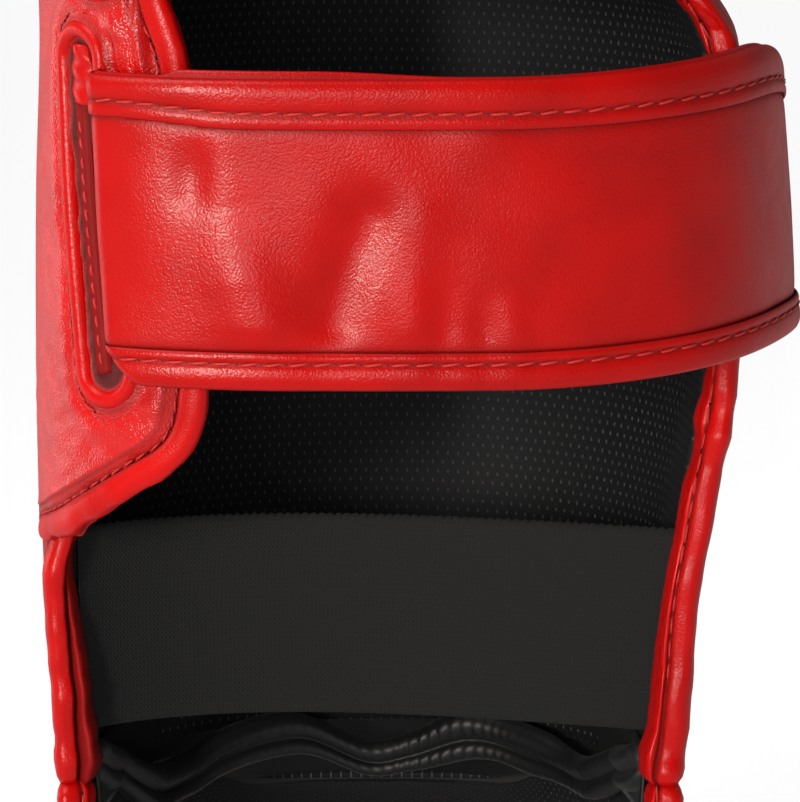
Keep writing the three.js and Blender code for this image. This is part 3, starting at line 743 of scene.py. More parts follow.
# The wing
# A soft flap, two layers of the leather over thin foam, that goes on from the wall's left edge round
# the calf. Its free edge is folded into a roll and sewn. The straps are sewn to its outside.
WING_THICKNESS = 4
WING_INSET = 5.6
WING_SEAM = 1
WING_COLUMNS = 72
WING_ROWS = 280
WING_ROLL_SCALE = 0.86
CALF_Z = 203.25
CALF_STOPS = 4000
LINE_STOPS = 2000
STRAP_HEIGHT = 56.5
STRAP_LEAN = 4.5
STRAPS = (  # where each strap leaves its slot: height of its lower edge and distance round
    dict(level="lower", bottom=175, root=39.5, seed=40),
    dict(level="upper", bottom=250, root=37, seed=60),
)
WELT_HALF_WIDTH = 5.9
WELT_OFFSET = -3.2  # from a strap's root to the middle of its slot
WELT_LEAN = 8
WELT_BELOW = 5
WELT_ABOVE = 7
WELT_STITCHES = 3.3  # outside the ridge
FINE_PITCH = 3.3
FINE_LENGTH = 2.6
UPPER_STITCHES_FROM = 252  # below this the two welts share one row
WELT_SECTION = (  # across the ridge, and up from the wing
    dict(side=-1.8, rise=-0.8),
    dict(side=-1.5, rise=0.4),
    dict(side=-0.7, rise=1.2),
    dict(side=0.5, rise=1.3),
    dict(side=1.4, rise=0.5),
    dict(side=1.8, rise=-0.8),
    dict(side=0, rise=-1),
)
TAPE_SECTION = (
    dict(side=-2, rise=-1.2),
    dict(side=-1.7, rise=-0.3),
    dict(side=-0.8, rise=0.1),
    dict(side=0.8, rise=0.1),
    dict(side=1.5, rise=-0.4),
    dict(side=1.7, rise=-1.2),
)
TAPE_SHIFT = -0.9
TAPE_SHADE = 0.7
TAB_LENGTH = 11  # of the strap's end that shows at the top of its slot
TAB_HALF = 3.4
TAB_STEPS = 24
WING_OUTLINE = (
    dict(round=1, z=136.5),
    dict(round=22, z=142.3),
    dict(round=42, z=152.5),
    dict(round=53.5, z=161),
    dict(round=57, z=175),
    dict(round=57, z=205),
    dict(round=52.5, z=233),
    dict(round=47.8, z=248),
    dict(round=52, z=260),
    dict(round=54.5, z=285),
    dict(round=52.5, z=313),
    dict(round=44, z=325),
    dict(round=23, z=333),
    dict(round=1, z=337),
)
WING_START = 0.4  # from the wall's edge
WING_FLAT = 6  # distance round over which its seams and folds begin
WING_CALM = (4, 16)  # up to the first it lies smooth along the wall's edge
WING_DITCH = 1.2  # of the seam along the free edge
WING_DITCH_WIDTH = 1.5
FLAP_FOLD = 0.5  # the outer layer's own fold, beside that seam
FLAP_FOLD_FROM = 2.2
FLAP_FOLD_TO = 2.8
FLAP_FOLD_FADE = 3
WING_REACH = 3  # how far the roll goes on beyond the free edge's ends
WING_STITCH_INSET = 0.4
WING_STITCH_SINK = 0.9
WING_SHADES = (  # along the seam: distance from it, width and depth of each line of painted shade
    dict(at=0, wide=1.1, shade=0.5),
    dict(at=2.3, wide=0.45, shade=0.4),
)
WING_LUMPS = (
    dict(rise=0.3, size=26, stretch=(1, 1), seed=31),
    dict(rise=0.13, size=8, stretch=(1, 2), seed=32),
)
WING_WRINKLES = (  # where the strap draws the flap up, and above its lower edge
    dict(round=43, wide=8, z=238, tall=11, rise=0.4, size=5, stretch=(1.6, 0.7), seed=36),
    dict(round=25, wide=20, z=160, tall=14, rise=0.16, size=6, stretch=(0.8, 1.6), seed=37),
)
WING_PUCKERS = (
    dict(z=151, way=9, depth=0.09),
    dict(z=0, way=999, depth=0.035),
)
WELT_DITCH = 0.5
WELT_DITCH_WIDTH = 1
WELT_SWELL = 0.3  # of the flap, beyond the stitches round the welt
WELT_SWELL_AT = 3
WELT_SWELL_WIDTH = 2
# painted shade beside the welt's ridge
WELT_SHADE = 0.45
WELT_SHADE_AT = 2
WELT_SHADE_WIDTH = 0.7
SLOT_DEPTH = 0.9
SLOT_WALL = (-3.5, -1)  # from the ridge inwards: where the slot is deep, and where it begins
# painted shade deep in the slot
SLOT_SHADE = 1.1
SLOT_DARK = (-2.6, -1.2)
SLOT_BELOW = 1
SLOT_ABOVE = 2.5
SLOT_STOPS = 90
SLOT_COVERED = 18  # stops at its top that lie under the strap's end
WELT_STOPS = 180
WELT_ARC_STOPS = 40
WELT_STITCH_STOPS = 260
WELT_STITCH_SINK = 0.4
TAB_TOP = 3
TAB_SHIFT = 0.3
TAB_POINT = 0.75  # how far its top narrows
TAB_RISE = 1.1
TAB_SINK = 0.3
TAB_RIPPLE = 0.22
TAB_RIPPLES = 16
TAB_UNDER = -1.3
calf_angles = np.linspace(360 - EDGE_ANGLE, 0, CALF_STOPS)
calf_run = run_along(leg_outline(calf_angles, CALF_Z))


def calf_angle(distance):
    return np.interp(distance, calf_run, calf_angles)


def calf_point(distance, z, lift):
    """A point by its distance round from the wall's left edge, behind the calf to the right."""
    return leg_point(calf_angle(distance), z, lift)


def away_from_calf(distance, z):
    return away_from_leg(calf_angle(distance), z)


def at_even_steps(line, count):
    run = run_along(line)
    stops = np.linspace(0, run[-1], count)
    return np.stack([np.interp(stops, run, line[:, k]) for k in (0, 1)], -1)


def line_through(table, count):
    """Smooth open line through a table of round and z, at even steps."""
    rows = [dict(at=number, **row) for number, row in enumerate(table)]
    fine = np.linspace(0, len(table) - 1, LINE_STOPS)
    line = np.stack([along_table(rows, "at", name)(fine) for name in ("round", "z")], -1)
    return at_even_steps(line, count)


def welt_middle(strap, z):
    return strap["root"] + WELT_OFFSET - WELT_LEAN * (z - strap["bottom"]) / STRAP_HEIGHT


def welt_ends(strap):
    low = strap["bottom"] - WELT_BELOW + WELT_HALF_WIDTH
    return low, strap["bottom"] + STRAP_HEIGHT + WELT_ABOVE - WELT_HALF_WIDTH


def from_welt(strap, distance, z):
    """Distance from the ridge of a strap's welt, below 0 inside its oval."""
    level = np.clip(z, *welt_ends(strap))
    return np.hypot(distance - welt_middle(strap, level), z - level) - WELT_HALF_WIDTH


def welt_line(strap, outside, count):
    """Closed line round a strap's slot, some way outside its ridge: round and z at even steps."""
    low, high = welt_ends(strap)
    turn = np.linspace(0, np.pi, WELT_ARC_STOPS)
    turn = np.concatenate([turn, turn + np.pi, [0]])
    level = np.where((turn > 0) & (turn < np.pi), high, low)
    level[[0, WELT_ARC_STOPS - 1, -1]] = high
    reach = WELT_HALF_WIDTH + outside
    line = np.stack([welt_middle(strap, level) + reach * np.cos(turn), level + reach * np.sin(turn)], -1)
    return at_even_steps(line, count)


def joined(parts):
    """Several bodies as one: their points and faces together."""
    points = [np.reshape(body, (-1, 3)) for body, _ in parts]
    starts = np.cumsum([0] + [len(body) for body in points])
    faces = [[corner + start for corner in face] for (_, own), start in zip(parts, starts) for face in own]
    return np.concatenate(points), faces


def bead(line, section, ring):
    """A low ridge on the wing along a line of round and z."""
    around = np.concatenate([line[-2:-1], line, line[1:2]])
    step = unit(np.gradient(around, axis=0)[1:-1] if ring else np.gradient(line, axis=0))
    loop = rounded(section, SECTION_STEPS)
    across = line[:, None] + loop[None, :, :1] * np.stack([step[:, 1], -step[:, 0]], -1)[:, None]
    body = calf_point(across[..., 0], across[..., 1], np.broadcast_to(loop[:, 1], across.shape[:2]))
    if ring:
        return body[:-1], loft_faces(len(line) - 1, len(loop), True)
    return body, loft_faces(len(line), len(loop))


def wrinkled(spot, row):
    return row["rise"] * unevenness(spot * row["stretch"], row["size"], row["seed"])


wing_edge = line_through(WING_OUTLINE, WING_ROWS + 1)
wing_run = unit(np.gradient(wing_edge, axis=0))
wing_free = wing_edge + WING_INSET * np.stack([-wing_run[:, 1], wing_run[:, 0]], -1)
wing_free[:, 0] = np.maximum(wing_free[:, 0], WING_SEAM)
wing_share = np.linspace(0, 1, WING_COLUMNS + 1)[None, :]
wing_row = np.linspace(0, 1, WING_ROWS + 1)[:, None]
wing_round = lerp(WING_START, wing_free[:, :1], wing_share)
wing_z = lerp(lerp(wing_free[0, 1], wing_free[-1, 1], wing_row), wing_free[:, 1:], wing_share)
wing_spot = np.stack([wing_round, wing_z], -1)
wing_room = (1 - wing_share) * (wing_free[:, :1] - WING_START)  # distance to the free edge's seam
flap_fold = np.exp((FLAP_FOLD_TO - wing_room) / FLAP_FOLD_FADE)
flap_fold = flap_fold * eased(wing_room, FLAP_FOLD_FROM, FLAP_FOLD_TO)
wing_dip = WING_DITCH * bell(wing_room, 0, WING_DITCH_WIDTH) - FLAP_FOLD * flap_fold
wing_dip = wing_dip * eased(wing_round, 0, WING_FLAT)
wing_soft = eased(wing_round, *WING_CALM) * sum(wrinkled(wing_spot, row) for row in WING_LUMPS)
for row in WING_WRINKLES:
    near = bell(wing_round, row["round"], row["wide"]) * bell(wing_z, row["z"], row["tall"])
    wing_soft = wing_soft + near * wrinkled(wing_spot, row)
wing_shade = sum(row["shade"] * bell(wing_room, row["at"], row["wide"]) for row in WING_SHADES)
for strap in STRAPS:
    off_ridge = from_welt(strap, wing_round, wing_z)
    wing_dip = wing_dip + WELT_DITCH * bell(off_ridge, WELT_STITCHES, WELT_DITCH_WIDTH)
    wing_dip = wing_dip + SLOT_DEPTH * (1 - eased(off_ridge, *SLOT_WALL))
    wing_dip = wing_dip - WELT_SWELL * bell(off_ridge, WELT_STITCHES + WELT_SWELL_AT, WELT_SWELL_WIDTH)
    wing_shade = wing_shade + WELT_SHADE * bell(off_ridge, WELT_SHADE_AT, WELT_SHADE_WIDTH)
    wing_shade = wing_shade + SLOT_SHADE * (1 - eased(off_ridge, *SLOT_DARK))
# The panel leather painted lighter for the wing, which the sun and key light less than the strap: painted
# light
wing_leather_painted_lighter = red_leather(
    "wing_leather_painted_lighter", lit=(0.36, 0.001, 0.0004), deep=(0.3, 0.0007, 0.0003), gloss=0.24, grain=0.7, shine=0.3
)
wing = add_wall(
    "wing_flap",
    calf_point(wing_round, wing_z, -WING_THICKNESS),
    calf_point(wing_round, wing_z, wing_soft - wing_dip),
    wing_leather_painted_lighter,
    "red_leather",
    "wing",
    crease=np.clip(wing_shade, 0, 1),
)
wing_away = away_from_calf(wing_free[:, 0], wing_free[:, 1])
roll(
    "wing_roll",
    calf_point(wing_free[::-1, 0], wing_free[::-1, 1], -WING_THICKNESS / 2),
    wing_away[::-1],
    "wing_binding",
    gathers(33, WING_PUCKERS),
    scale=WING_ROLL_SCALE,
    reach=(WING_REACH, WING_REACH),
)
wing_seam = calf_point(wing_free[:, 0] - WING_STITCH_INSET, wing_free[:, 1], -WING_STITCH_SINK)
stitches("wing_stitches", wing_seam, wing_away, FINE_PITCH, FINE_LENGTH, seed=34)

tab_side, tab_up = np.meshgrid(np.linspace(-1, 1, TAB_STEPS + 1), np.linspace(0, 1, TAB_STEPS + 1))
tab_ripple = TAB_RIPPLE * np.sin(tab_up * TAB_RIPPLES + 2 * tab_side)
tab_rise = TAB_RISE * (1 - tab_side ** 2) + tab_ripple - TAB_SINK
for strap in STRAPS:
    level = strap["level"]
    low, high = welt_ends(strap)
    slot_z = np.linspace(low - SLOT_BELOW, high + SLOT_ABOVE, SLOT_STOPS)
    slot_line = np.stack([welt_middle(strap, slot_z) + TAPE_SHIFT, slot_z], -1)
    ridge = bead(welt_line(strap, 0, WELT_STOPS), WELT_SECTION, True)
    tape = bead(slot_line, TAPE_SECTION, False)
    tab_z = high + TAB_TOP - TAB_LENGTH * (1 - tab_up)
    tab_wide = TAB_HALF * np.sqrt(1 - TAB_POINT * tab_up ** 3)
    tab_round = welt_middle(strap, tab_z) + TAB_SHIFT + tab_wide * tab_side
    tab = np.stack([calf_point(tab_round, tab_z, lift) for lift in (TAB_UNDER, tab_rise)])
    # Painted shade on the tape down in the slot
    shades = ((ridge[0], 0), (tape[0], TAPE_SHADE), (tab, 0))
    welt = add_piece(
        f"{level}_welt",
        *joined([ridge, tape, (tab, wall_faces(TAB_STEPS, TAB_STEPS))]),
        binding_leather,
        "red_binding",
        [f"{level}_anchor"],
        {"crease": np.concatenate([np.full(body.size // 3, shade) for body, shade in shades])},
    )
    round_line = welt_line(strap, WELT_STITCHES, WELT_STITCH_STOPS)
    if level == "upper":
        kept = round_line[:, 1] > UPPER_STITCHES_FROM
        round_line = np.roll(round_line[:-1], -np.flatnonzero(~kept)[-1] - 1, 0)[:kept[:-1].sum()]
    for row, line, sink in (("slot", slot_line[:-SLOT_COVERED], 0), ("welt", round_line, WELT_STITCH_SINK)):
        seam = calf_point(line[:, 0], line[:, 1], -sink)
        seam_away = away_from_calf(line[:, 0], line[:, 1])
        stitches(f"{level}_{row}_stitches", seam, seam_away, FINE_PITCH, FINE_LENGTH, seed=35)

# The straps
# Two wide straps of doubled leather whose long edges are folded over and sewn down as hems. Each comes
# out of a slot in the wing, inside an oval welt of piping, crosses the calf, and is held by hook and
# loop on a patch on the right wall.
STRAP_THICKNESS = 3
STRAP_LIFT = 3.5
STRAP_END = 243
STRAP_RISE = 3.5
RISE_START = 110
RISE_END = 180
STRAP_TAPER = 0.21  # the strap is that much narrower at its right end
TAPER_START = 160
TAPER_END = 225
FLARE = 3.4
FLARE_ROUND = 188
FLARE_WIDTH = 18
STRAP_STATIONS = 300
STATION_POWER = 1.15  # they lie closer together near its slot
CORE_ROWS = 84
CORE_BOTTOM = 6.1
CORE_TOP = 49.8
CORNER_UP = 7.5  # height of the rounded corner at the strap's lower left
CORNER_ROUND = 5.2
CORNER_POWER = 1.6
TURN_IN = 3.2  # length over which the strap turns into its slot
TURN_DEPTH = 4.2
STRAP_FOLDS = (  # soft valleys and crests along lines: distance round, height and depth at each point
    dict(wide=3.6, line=((55, 48, -1.3), (56, 36, -0.7))),
    dict(wide=6.5, line=((61, 33, 0.3), (64.5, 20, 1.5), (68.5, 4, 1.8))),
    dict(wide=5, line=((86, 31, -1.3), (84, 26, -1.6), (80.5, 14, -1.6), (79, 3, -1.3))),
    dict(wide=5, line=((95, 29, 0.6), (95.5, 6, 0.8))),
    dict(wide=3.4, line=((100, 17, -0.4), (99.5, 3, -1.1))),
    dict(wide=2.8, line=((107, 15, -0.3), (107.5, 3, -0.9))),
    dict(wide=3, line=((112, 14, 0.3), (113, 4, 0.6))),
)


def hem_row(up, proud, shade=0, peep=0):
    """A corner of a hem's section: its height on the strap, how proud it stands, its painted shade and its
    peep.
    """
    return dict(up=up, proud=proud, shade=shade, peep=peep)


TOP_HEM = (
    hem_row(up=47.5, proud=3.05, shade=0.8),
    hem_row(up=47.4, proud=3.35, shade=0.5),
    hem_row(up=47.8, proud=3.65),
    hem_row(up=49, proud=3.75),
    hem_row(up=50.3, proud=3.45, shade=0.45),
    hem_row(up=51.4, proud=3.8),
    hem_row(up=54, proud=3.95),
    hem_row(up=55.8, proud=3.5),
    hem_row(up=56.5, proud=2.5),
    hem_row(up=56.2, proud=1.7, shade=0.4, peep=0.1),
    hem_row(up=56.6, proud=1.2, peep=1),
    hem_row(up=56.7, proud=0.5, peep=1),
    hem_row(up=56, proud=-0.2, peep=0.5),
    hem_row(up=54, proud=-0.5),
    hem_row(up=50, proud=-0.5),
    hem_row(up=48.2, proud=-0.3),
    hem_row(up=48.1, proud=2.5, shade=0.6),
)
BOTTOM_HEM = (
    hem_row(up=6.5, proud=3.05, shade=0.8),
    hem_row(up=6.6, proud=3.35, shade=0.5),
    hem_row(up=6.2, proud=3.65),
    hem_row(up=5.4, proud=3.75),
    hem_row(up=4.5, proud=3.45, shade=0.45),
    hem_row(up=3.6, proud=3.8),
    hem_row(up=1.8, proud=3.95),
    hem_row(up=0.2, proud=3.5),
    hem_row(up=-0.5, proud=2.3),
    hem_row(up=-0.4, proud=1),
    hem_row(up=0.4, proud=0),
    hem_row(up=2, proud=-0.5),
    hem_row(up=4.5, proud=-0.5),
    hem_row(up=5.8, proud=-0.3),
    hem_row(up=5.9, proud=2.5, shade=0.6),
)
TOP_STITCH_UP = 50.3
BOTTOM_STITCH_UP = 4.5
STITCH_PROUD = 3.5
STITCH_STOPS = 400
STITCH_SHARE = 0.006  # of the strap's length, left free at each end
HEM_RISE = 1.5  # how far the top hem's sewn edge climbs towards the strap's left end
HEM_RISE_ROUND = (42, 64)
HEM_RISE_FROM = (44, 47)
HEM_RISE_TO = (51, 56)
PEEP = 1  # the strap's back layer, where it shows above its top fold
PEEP_START = (49, 53)
PEEP_END = (76, 106)
HEM_HOLD = 0.8  # how far the hems hold the folds down, within these heights
TOP_HOLD = (38, 47)
BOTTOM_HOLD = (5, 12)
CORE_BACK = 0.2
CORE_LUMPS = 0.1
CORE_LUMP_SIZE = 14
# Painted shade on the strap's panel along the hems' folded edges
UNDER_HEM_SHADE = 0.6
UNDER_HEM_SHADE_WAY = 0.6
UNDER_HEM_DIP = 0.3
UNDER_HEM_DIP_WAY = 0.8
UNDER_HEM_DROP = 0.5
UNDER_HEM_AT = -0.4


def strap_root(strap, up):
    corner = CORNER_ROUND * np.clip(1 - up / CORNER_UP, 0, 1) ** CORNER_POWER
    return strap["root"] - STRAP_LEAN * up / STRAP_HEIGHT + corner


def strap_folds(distance, up):
    """Height of the strap's soft folds and dents."""
    spot = np.stack(np.broadcast_arrays(distance, up), -1)
    total = np.zeros(spot.shape[:-1])
    for fold in STRAP_FOLDS:
        nearest = np.full(total.shape, np.inf)
        depth = np.zeros(total.shape)
        line = np.array(fold["line"], float)
        for start, end in zip(line[:-1], line[1:]):
            run = end[:2] - start[:2]
            share = np.clip(((spot - start[:2]) @ run) / (run @ run), 0, 1)
            gap = np.linalg.norm(spot - start[:2] - share[..., None] * run, axis=-1)
            depth = np.where(gap < nearest, lerp(start[2], end[2], share), depth)
            nearest = np.minimum(gap, nearest)
        total += depth * bell(nearest, 0, fold["wide"])
    top_held = eased(spot[..., 1], *TOP_HOLD)
    bottom_held = 1 - eased(spot[..., 1], *BOTTOM_HOLD)
    return total * (1 - HEM_HOLD * (top_held + bottom_held))


def strap_place(strap, share, up):
    """Distance round of a point, by its share of the strap's length."""
    return lerp(strap_root(strap, up), STRAP_END, share)


def strap_point(strap, share, up, proud):
    distance = strap_place(strap, share, up)
    flare = FLARE * (1 - up / STRAP_HEIGHT) * bell(distance, FLARE_ROUND, FLARE_WIDTH)
    entry = np.clip(1 - (distance - strap_root(strap, up)) / TURN_IN, 0, 1)
    turned = TURN_DEPTH * (1 - np.sqrt(1 - entry ** 2))
    height = up * (1 - STRAP_TAPER * eased(distance, TAPER_START, TAPER_END))
    z = strap["bottom"] + STRAP_RISE * eased(distance, RISE_START, RISE_END) + height
    return calf_point(distance, z, STRAP_LIFT + flare - turned + proud)


def hem_rise(distance, up):
    """How far the sewn edge of the top hem climbs."""
    on_edge = eased(up, *HEM_RISE_FROM) * (1 - eased(up, *HEM_RISE_TO))
    return HEM_RISE * (1 - eased(distance, *HEM_RISE_ROUND)) * on_edge


def hem(strap, name, section, node):
    loop = rounded(section, SECTION_STEPS)
    share = stations[:, None]
    place = strap_place(strap, share, loop[:, 0])
    peep = PEEP * eased(place, *PEEP_START) * (1 - eased(place, *PEEP_END)) * loop[:, 3]
    up = loop[:, 0] + peep + hem_rise(place, loop[:, 0])
    body = strap_point(strap, share, up, loop[:, 1] + strap_folds(place, loop[:, 0]))
    folded_edge(name, body, loop, panel_leather, "red_leather", node)


stations = np.linspace(0, 1, STRAP_STATIONS) ** STATION_POWER
stitch_stations = np.linspace(STITCH_SHARE, 1 - STITCH_SHARE, STITCH_STOPS)
core_share = stations[None, :]
core_up = np.linspace(CORE_BOTTOM, CORE_TOP, CORE_ROWS)[:, None]
for strap in STRAPS:
    level = strap["level"]
    core_place = strap_place(strap, core_share, core_up)
    core_spot = np.stack(np.broadcast_arrays(core_place, core_up), -1)
    core_lumps = CORE_LUMPS * unevenness(core_spot, CORE_LUMP_SIZE, strap["seed"])
    hem_edge = TOP_HEM[1]["up"] + hem_rise(core_place, TOP_HEM[1]["up"])
    off_hem = np.minimum(core_up - BOTTOM_HEM[1]["up"], hem_edge - core_up)
    core_dip = UNDER_HEM_DIP * np.exp(-np.maximum(off_hem, 0) / UNDER_HEM_DIP_WAY)
    core_dip = core_dip + UNDER_HEM_DROP * (off_hem < UNDER_HEM_AT)
    core_soft = strap_folds(core_place, core_up) + core_lumps - core_dip
    core_front = strap_point(strap, core_share, core_up, STRAP_THICKNESS + core_soft)
    core = add_wall(
        f"{level}_strap_panel",
        strap_point(strap, core_share, core_up, CORE_BACK),
        core_front,
        panel_leather,
        "red_leather",
        f"{level}_strap",
        crease=UNDER_HEM_SHADE * np.exp(-np.maximum(off_hem, 0) / UNDER_HEM_SHADE_WAY),
    )
    flat_size(cloth_lengths(core_front))
    hem(strap, f"{level}_strap_top_hem", TOP_HEM, f"{level}_strap_top_edge")
    hem(strap, f"{level}_strap_bottom_hem", BOTTOM_HEM, f"{level}_strap_bottom_edge")
    for row, up, seed in (("top", TOP_STITCH_UP, 41), ("bottom", BOTTOM_STITCH_UP, 42)):
        place = strap_place(strap, stitch_stations, up)
        sewn_up = up + hem_rise(place, up)
        line = strap_point(strap, stitch_stations, sewn_up, STITCH_PROUD + strap_folds(place, up))
        line_away = away_from_calf(strap_place(strap, stitch_stations, sewn_up), line[:, 2])
        stitches(f"{level}_strap_{row}_stitches", line, line_away, seed=seed)

# The loop patches
# Plain black loop tape sewn flat on the outside of the right wall. The hooks under each strap's end
# grip it; only its far margin shows.
PATCH_THICKNESS = 1.3
PATCH_LIFT = 0.8
PATCH_START = 204
PATCH_END = 249
PATCH_MARGIN = 4
PATCH_COLUMNS = 44
PATCH_ROWS = 44
PATCH_EDGE_DROP = 0.5
PATCH_EDGE_WIDTH = 1.2


def woven_black(name, colour, rough, size, depth, sheen):
    """Matt black textile with a small uneven surface."""
    finish, shader = new_finish(name)
    place = add_node(finish, "TexCoord", {}).outputs["Object"]
    loops = add_noise(finish, place, 1 / (size * MM), 3)["Fac"]
    dark = (colour * 0.6, colour * 0.6, colour * 0.6)
    light = (colour * 1.4, colour * 1.4, colour * 1.45)
    sockets = {
        "Base Color": add_ramp(finish, loops, (0.3, dark), (0.7, light)),
        "Roughness": rough,
        "Specular IOR Level": 0.2,
        "Sheen Weight": sheen,
        "Normal": add_bump(finish, loops, 0.7, depth * MM),
    }
    wire(finish, shader, sockets)
    return finish


loop_pile = woven_black("loop_pile", colour=0.013, rough=0.95, size=0.7, depth=0.5, sheen=0.15)
patch_share, patch_up = np.meshgrid(np.linspace(0, 1, PATCH_COLUMNS + 1), np.linspace(0, 1, PATCH_ROWS + 1))
patch_round = lerp(PATCH_START, PATCH_END, patch_share)
patch_height = STRAP_HEIGHT * (1 - STRAP_TAPER) - 2 * PATCH_MARGIN
patch_room = np.minimum(np.minimum(patch_share, 1 - patch_share), np.minimum(patch_up, 1 - patch_up))
patch_drop = PATCH_EDGE_DROP * bell(patch_room * (PATCH_END - PATCH_START), 0, PATCH_EDGE_WIDTH)
for strap in STRAPS:
    level = strap["level"]
    patch_z = strap["bottom"] + STRAP_RISE + PATCH_MARGIN + patch_height * patch_up
    patch_front = calf_point(patch_round, patch_z, PATCH_LIFT + PATCH_THICKNESS - patch_drop)
    patch = add_wall(
        f"{level}_loop_patch",
        calf_point(patch_round, patch_z, PATCH_LIFT),
        patch_front,
        loop_pile,
        "loop_pile",
        f"{level}_patch",
    )
    flat_size(cloth_lengths(patch_front))

# The elastic
# A band of matt black ribbed elastic webbing sewn across the opening above the ankle. Its ends are
# caught behind the rolled edges, and its middle hangs forward into the guard.
ELASTIC_Z = 99.6
ELASTIC_HEIGHT = 39.5
ELASTIC_THICKNESS = 1.3
ELASTIC_Y = -15.2
ELASTIC_BOW = 15.5
ELASTIC_SKEW = 0.7
ELASTIC_END = 7.35  # from the leg's outline in to its ends
ELASTIC_COLUMNS = 420
ELASTIC_ROWS = 44
RIB_PITCH = 0.8
WEFT_PITCH = 0.9
PICOT_COLUMNS = 6
PICOT_HEIGHT = 0.4
SELVEDGE_THIN = 0.4  # how much thinner each face is along its two edges
SELVEDGE_WIDTH = 0.7


def ribbed_elastic(name):
    finish, shader = new_finish(name)
    place, across, along = cloth_place(finish)
    rib = add_wave(finish, across, RIB_PITCH)
    crossing = add_math(finish, "MULTIPLY", rib, add_wave(finish, along, WEFT_PITCH))
    weft = add_math(finish, "MULTIPLY_ADD", rib, 0.35, crossing)
    fuzz = add_noise(finish, place, 2.2, 4)["Fac"]
    uneven = add_math(finish, "MULTIPLY_ADD", fuzz, 1.6, weft)
    tone = {"Value": uneven, "From Min": -0.6, "From Max": 2.2, "To Min": 0.004, "To Max": 0.008}
    sockets = {
        "Base Color": add_node(finish, "MapRange", tone).outputs["Result"],
        "Roughness": 0.92,
        "Specular IOR Level": 0.2,
        "Normal": add_bump(finish, uneven, 0.5, 0.00015),
    }
    wire(finish, shader, sockets)
    return finish


def elastic_point(share, z, proud):
    left = leg_outline(np.full(z.shape, -EDGE_ANGLE), z)[..., 0] + ELASTIC_END
    right = leg_outline(np.full(z.shape, EDGE_ANGLE), z)[..., 0] - ELASTIC_END
    y = ELASTIC_Y + ELASTIC_BOW * np.sin(np.pi * share ** ELASTIC_SKEW) + proud
    return np.stack([lerp(left, right, share), y, z], -1)


elastic_share, elastic_up = np.meshgrid(
    np.linspace(0, 1, ELASTIC_COLUMNS + 1), np.linspace(0, 1, ELASTIC_ROWS + 1)
)
picots = np.abs(np.sin(np.pi * elastic_share * ELASTIC_COLUMNS / PICOT_COLUMNS)) * (elastic_up == 1)
elastic_z = ELASTIC_Z + ELASTIC_HEIGHT * elastic_up + PICOT_HEIGHT * picots
elastic_room = np.minimum(elastic_up, 1 - elastic_up) * ELASTIC_HEIGHT
elastic_thin = SELVEDGE_THIN * bell(elastic_room, 0, SELVEDGE_WIDTH)
elastic_front = elastic_point(elastic_share, elastic_z, -ELASTIC_THICKNESS + elastic_thin)
elastic_mm = cloth_lengths(elastic_front)
elastic = add_wall(
    "elastic_webbing",
    elastic_point(elastic_share, elastic_z, -elastic_thin),
    elastic_front,
    ribbed_elastic("ribbed_elastic"),
    "ribbed_elastic",
    "elastic_band",
    cloth_mm=elastic_mm,
)

# The ankle
# Where shin and instep meet, a roll of gathered black fabric is sewn over the fold inside, so that the
# ankle does not touch the seams. A thin strip of leather joins the two walls behind it.
ANKLE_ANGLE = 97.5
ANKLE_STATIONS = 420
ANKLE_INSET = 5
END_TUCK = 0.85  # share of that inset that it loses at its ends, which go under the rolls
END_TUCK_ANGLE = 78
PUCKER_PITCH = 2.6
PUCKER_DEPTH = 0.32
PUCKER_SHIFT = 1.5
PUCKER_LEAST = 0.25
PUCKER_ANGLE = 18  # where it is gathered most
PUCKER_WIDTH = 22
ROLL_LUMPS = 0.12
ROLL_PUCKERS = 0.18
BACKING = 0.8  # cloth behind the roll, from lining to lining
BACKING_DEPTH = 1.7
BACKING_TOP = 0.012
BACKING_REACH = 0.03
BACKING_ROWS = 10
GUSSET_THICKNESS = 2
GUSSET_ROWS = 8
ANKLE_COLUMNS = 120  # of the backing and the strip
CREASE_MARGIN = 0.24
ANKLE_WAVES = (
    dict(angle=-97.5, z=94),
    dict(angle=-79, z=83),
    dict(angle=-62, z=82.6),
    dict(angle=-50, z=85.6),
    dict(angle=-36, z=87.6),
    dict(angle=-23, z=87.6),
    dict(angle=-4, z=82),
    dict(angle=10, z=83.4),
    dict(angle=32, z=88),
    dict(angle=58, z=86),
    dict(angle=79, z=84.6),
    dict(angle=97.5, z=93),
)
ANKLE_SECTION = (  # in from the wall, up, and how much it puckers
    dict(away=2.3, up=1.6, pucker=0),
    dict(away=1.6, up=3.2, pucker=0),
    dict(away=-0.4, up=3.9, pucker=0.1),
    dict(away=-2.3, up=3, pucker=0.2),
    dict(away=-3, up=1.4, pucker=0.5),
    dict(away=-2.3, up=-0.2, pucker=1),
    dict(away=-1.3, up=-1.2, pucker=0.2),
    dict(away=-2, up=-2.1, pucker=1),
    dict(away=-2.2, up=-3.4, pucker=0.6),
    dict(away=-1.2, up=-4.6, pucker=0.2),
    dict(away=0.6, up=-4.8, pucker=0),
    dict(away=2.2, up=-3.6, pucker=0),
    dict(away=2.4, up=-1, pucker=0),
)
INSTEP_FOAM = 14
TOE_SIDE = 0.8
ARCH_ROUNDING = 0.83
SHARE_STEP = 0.004
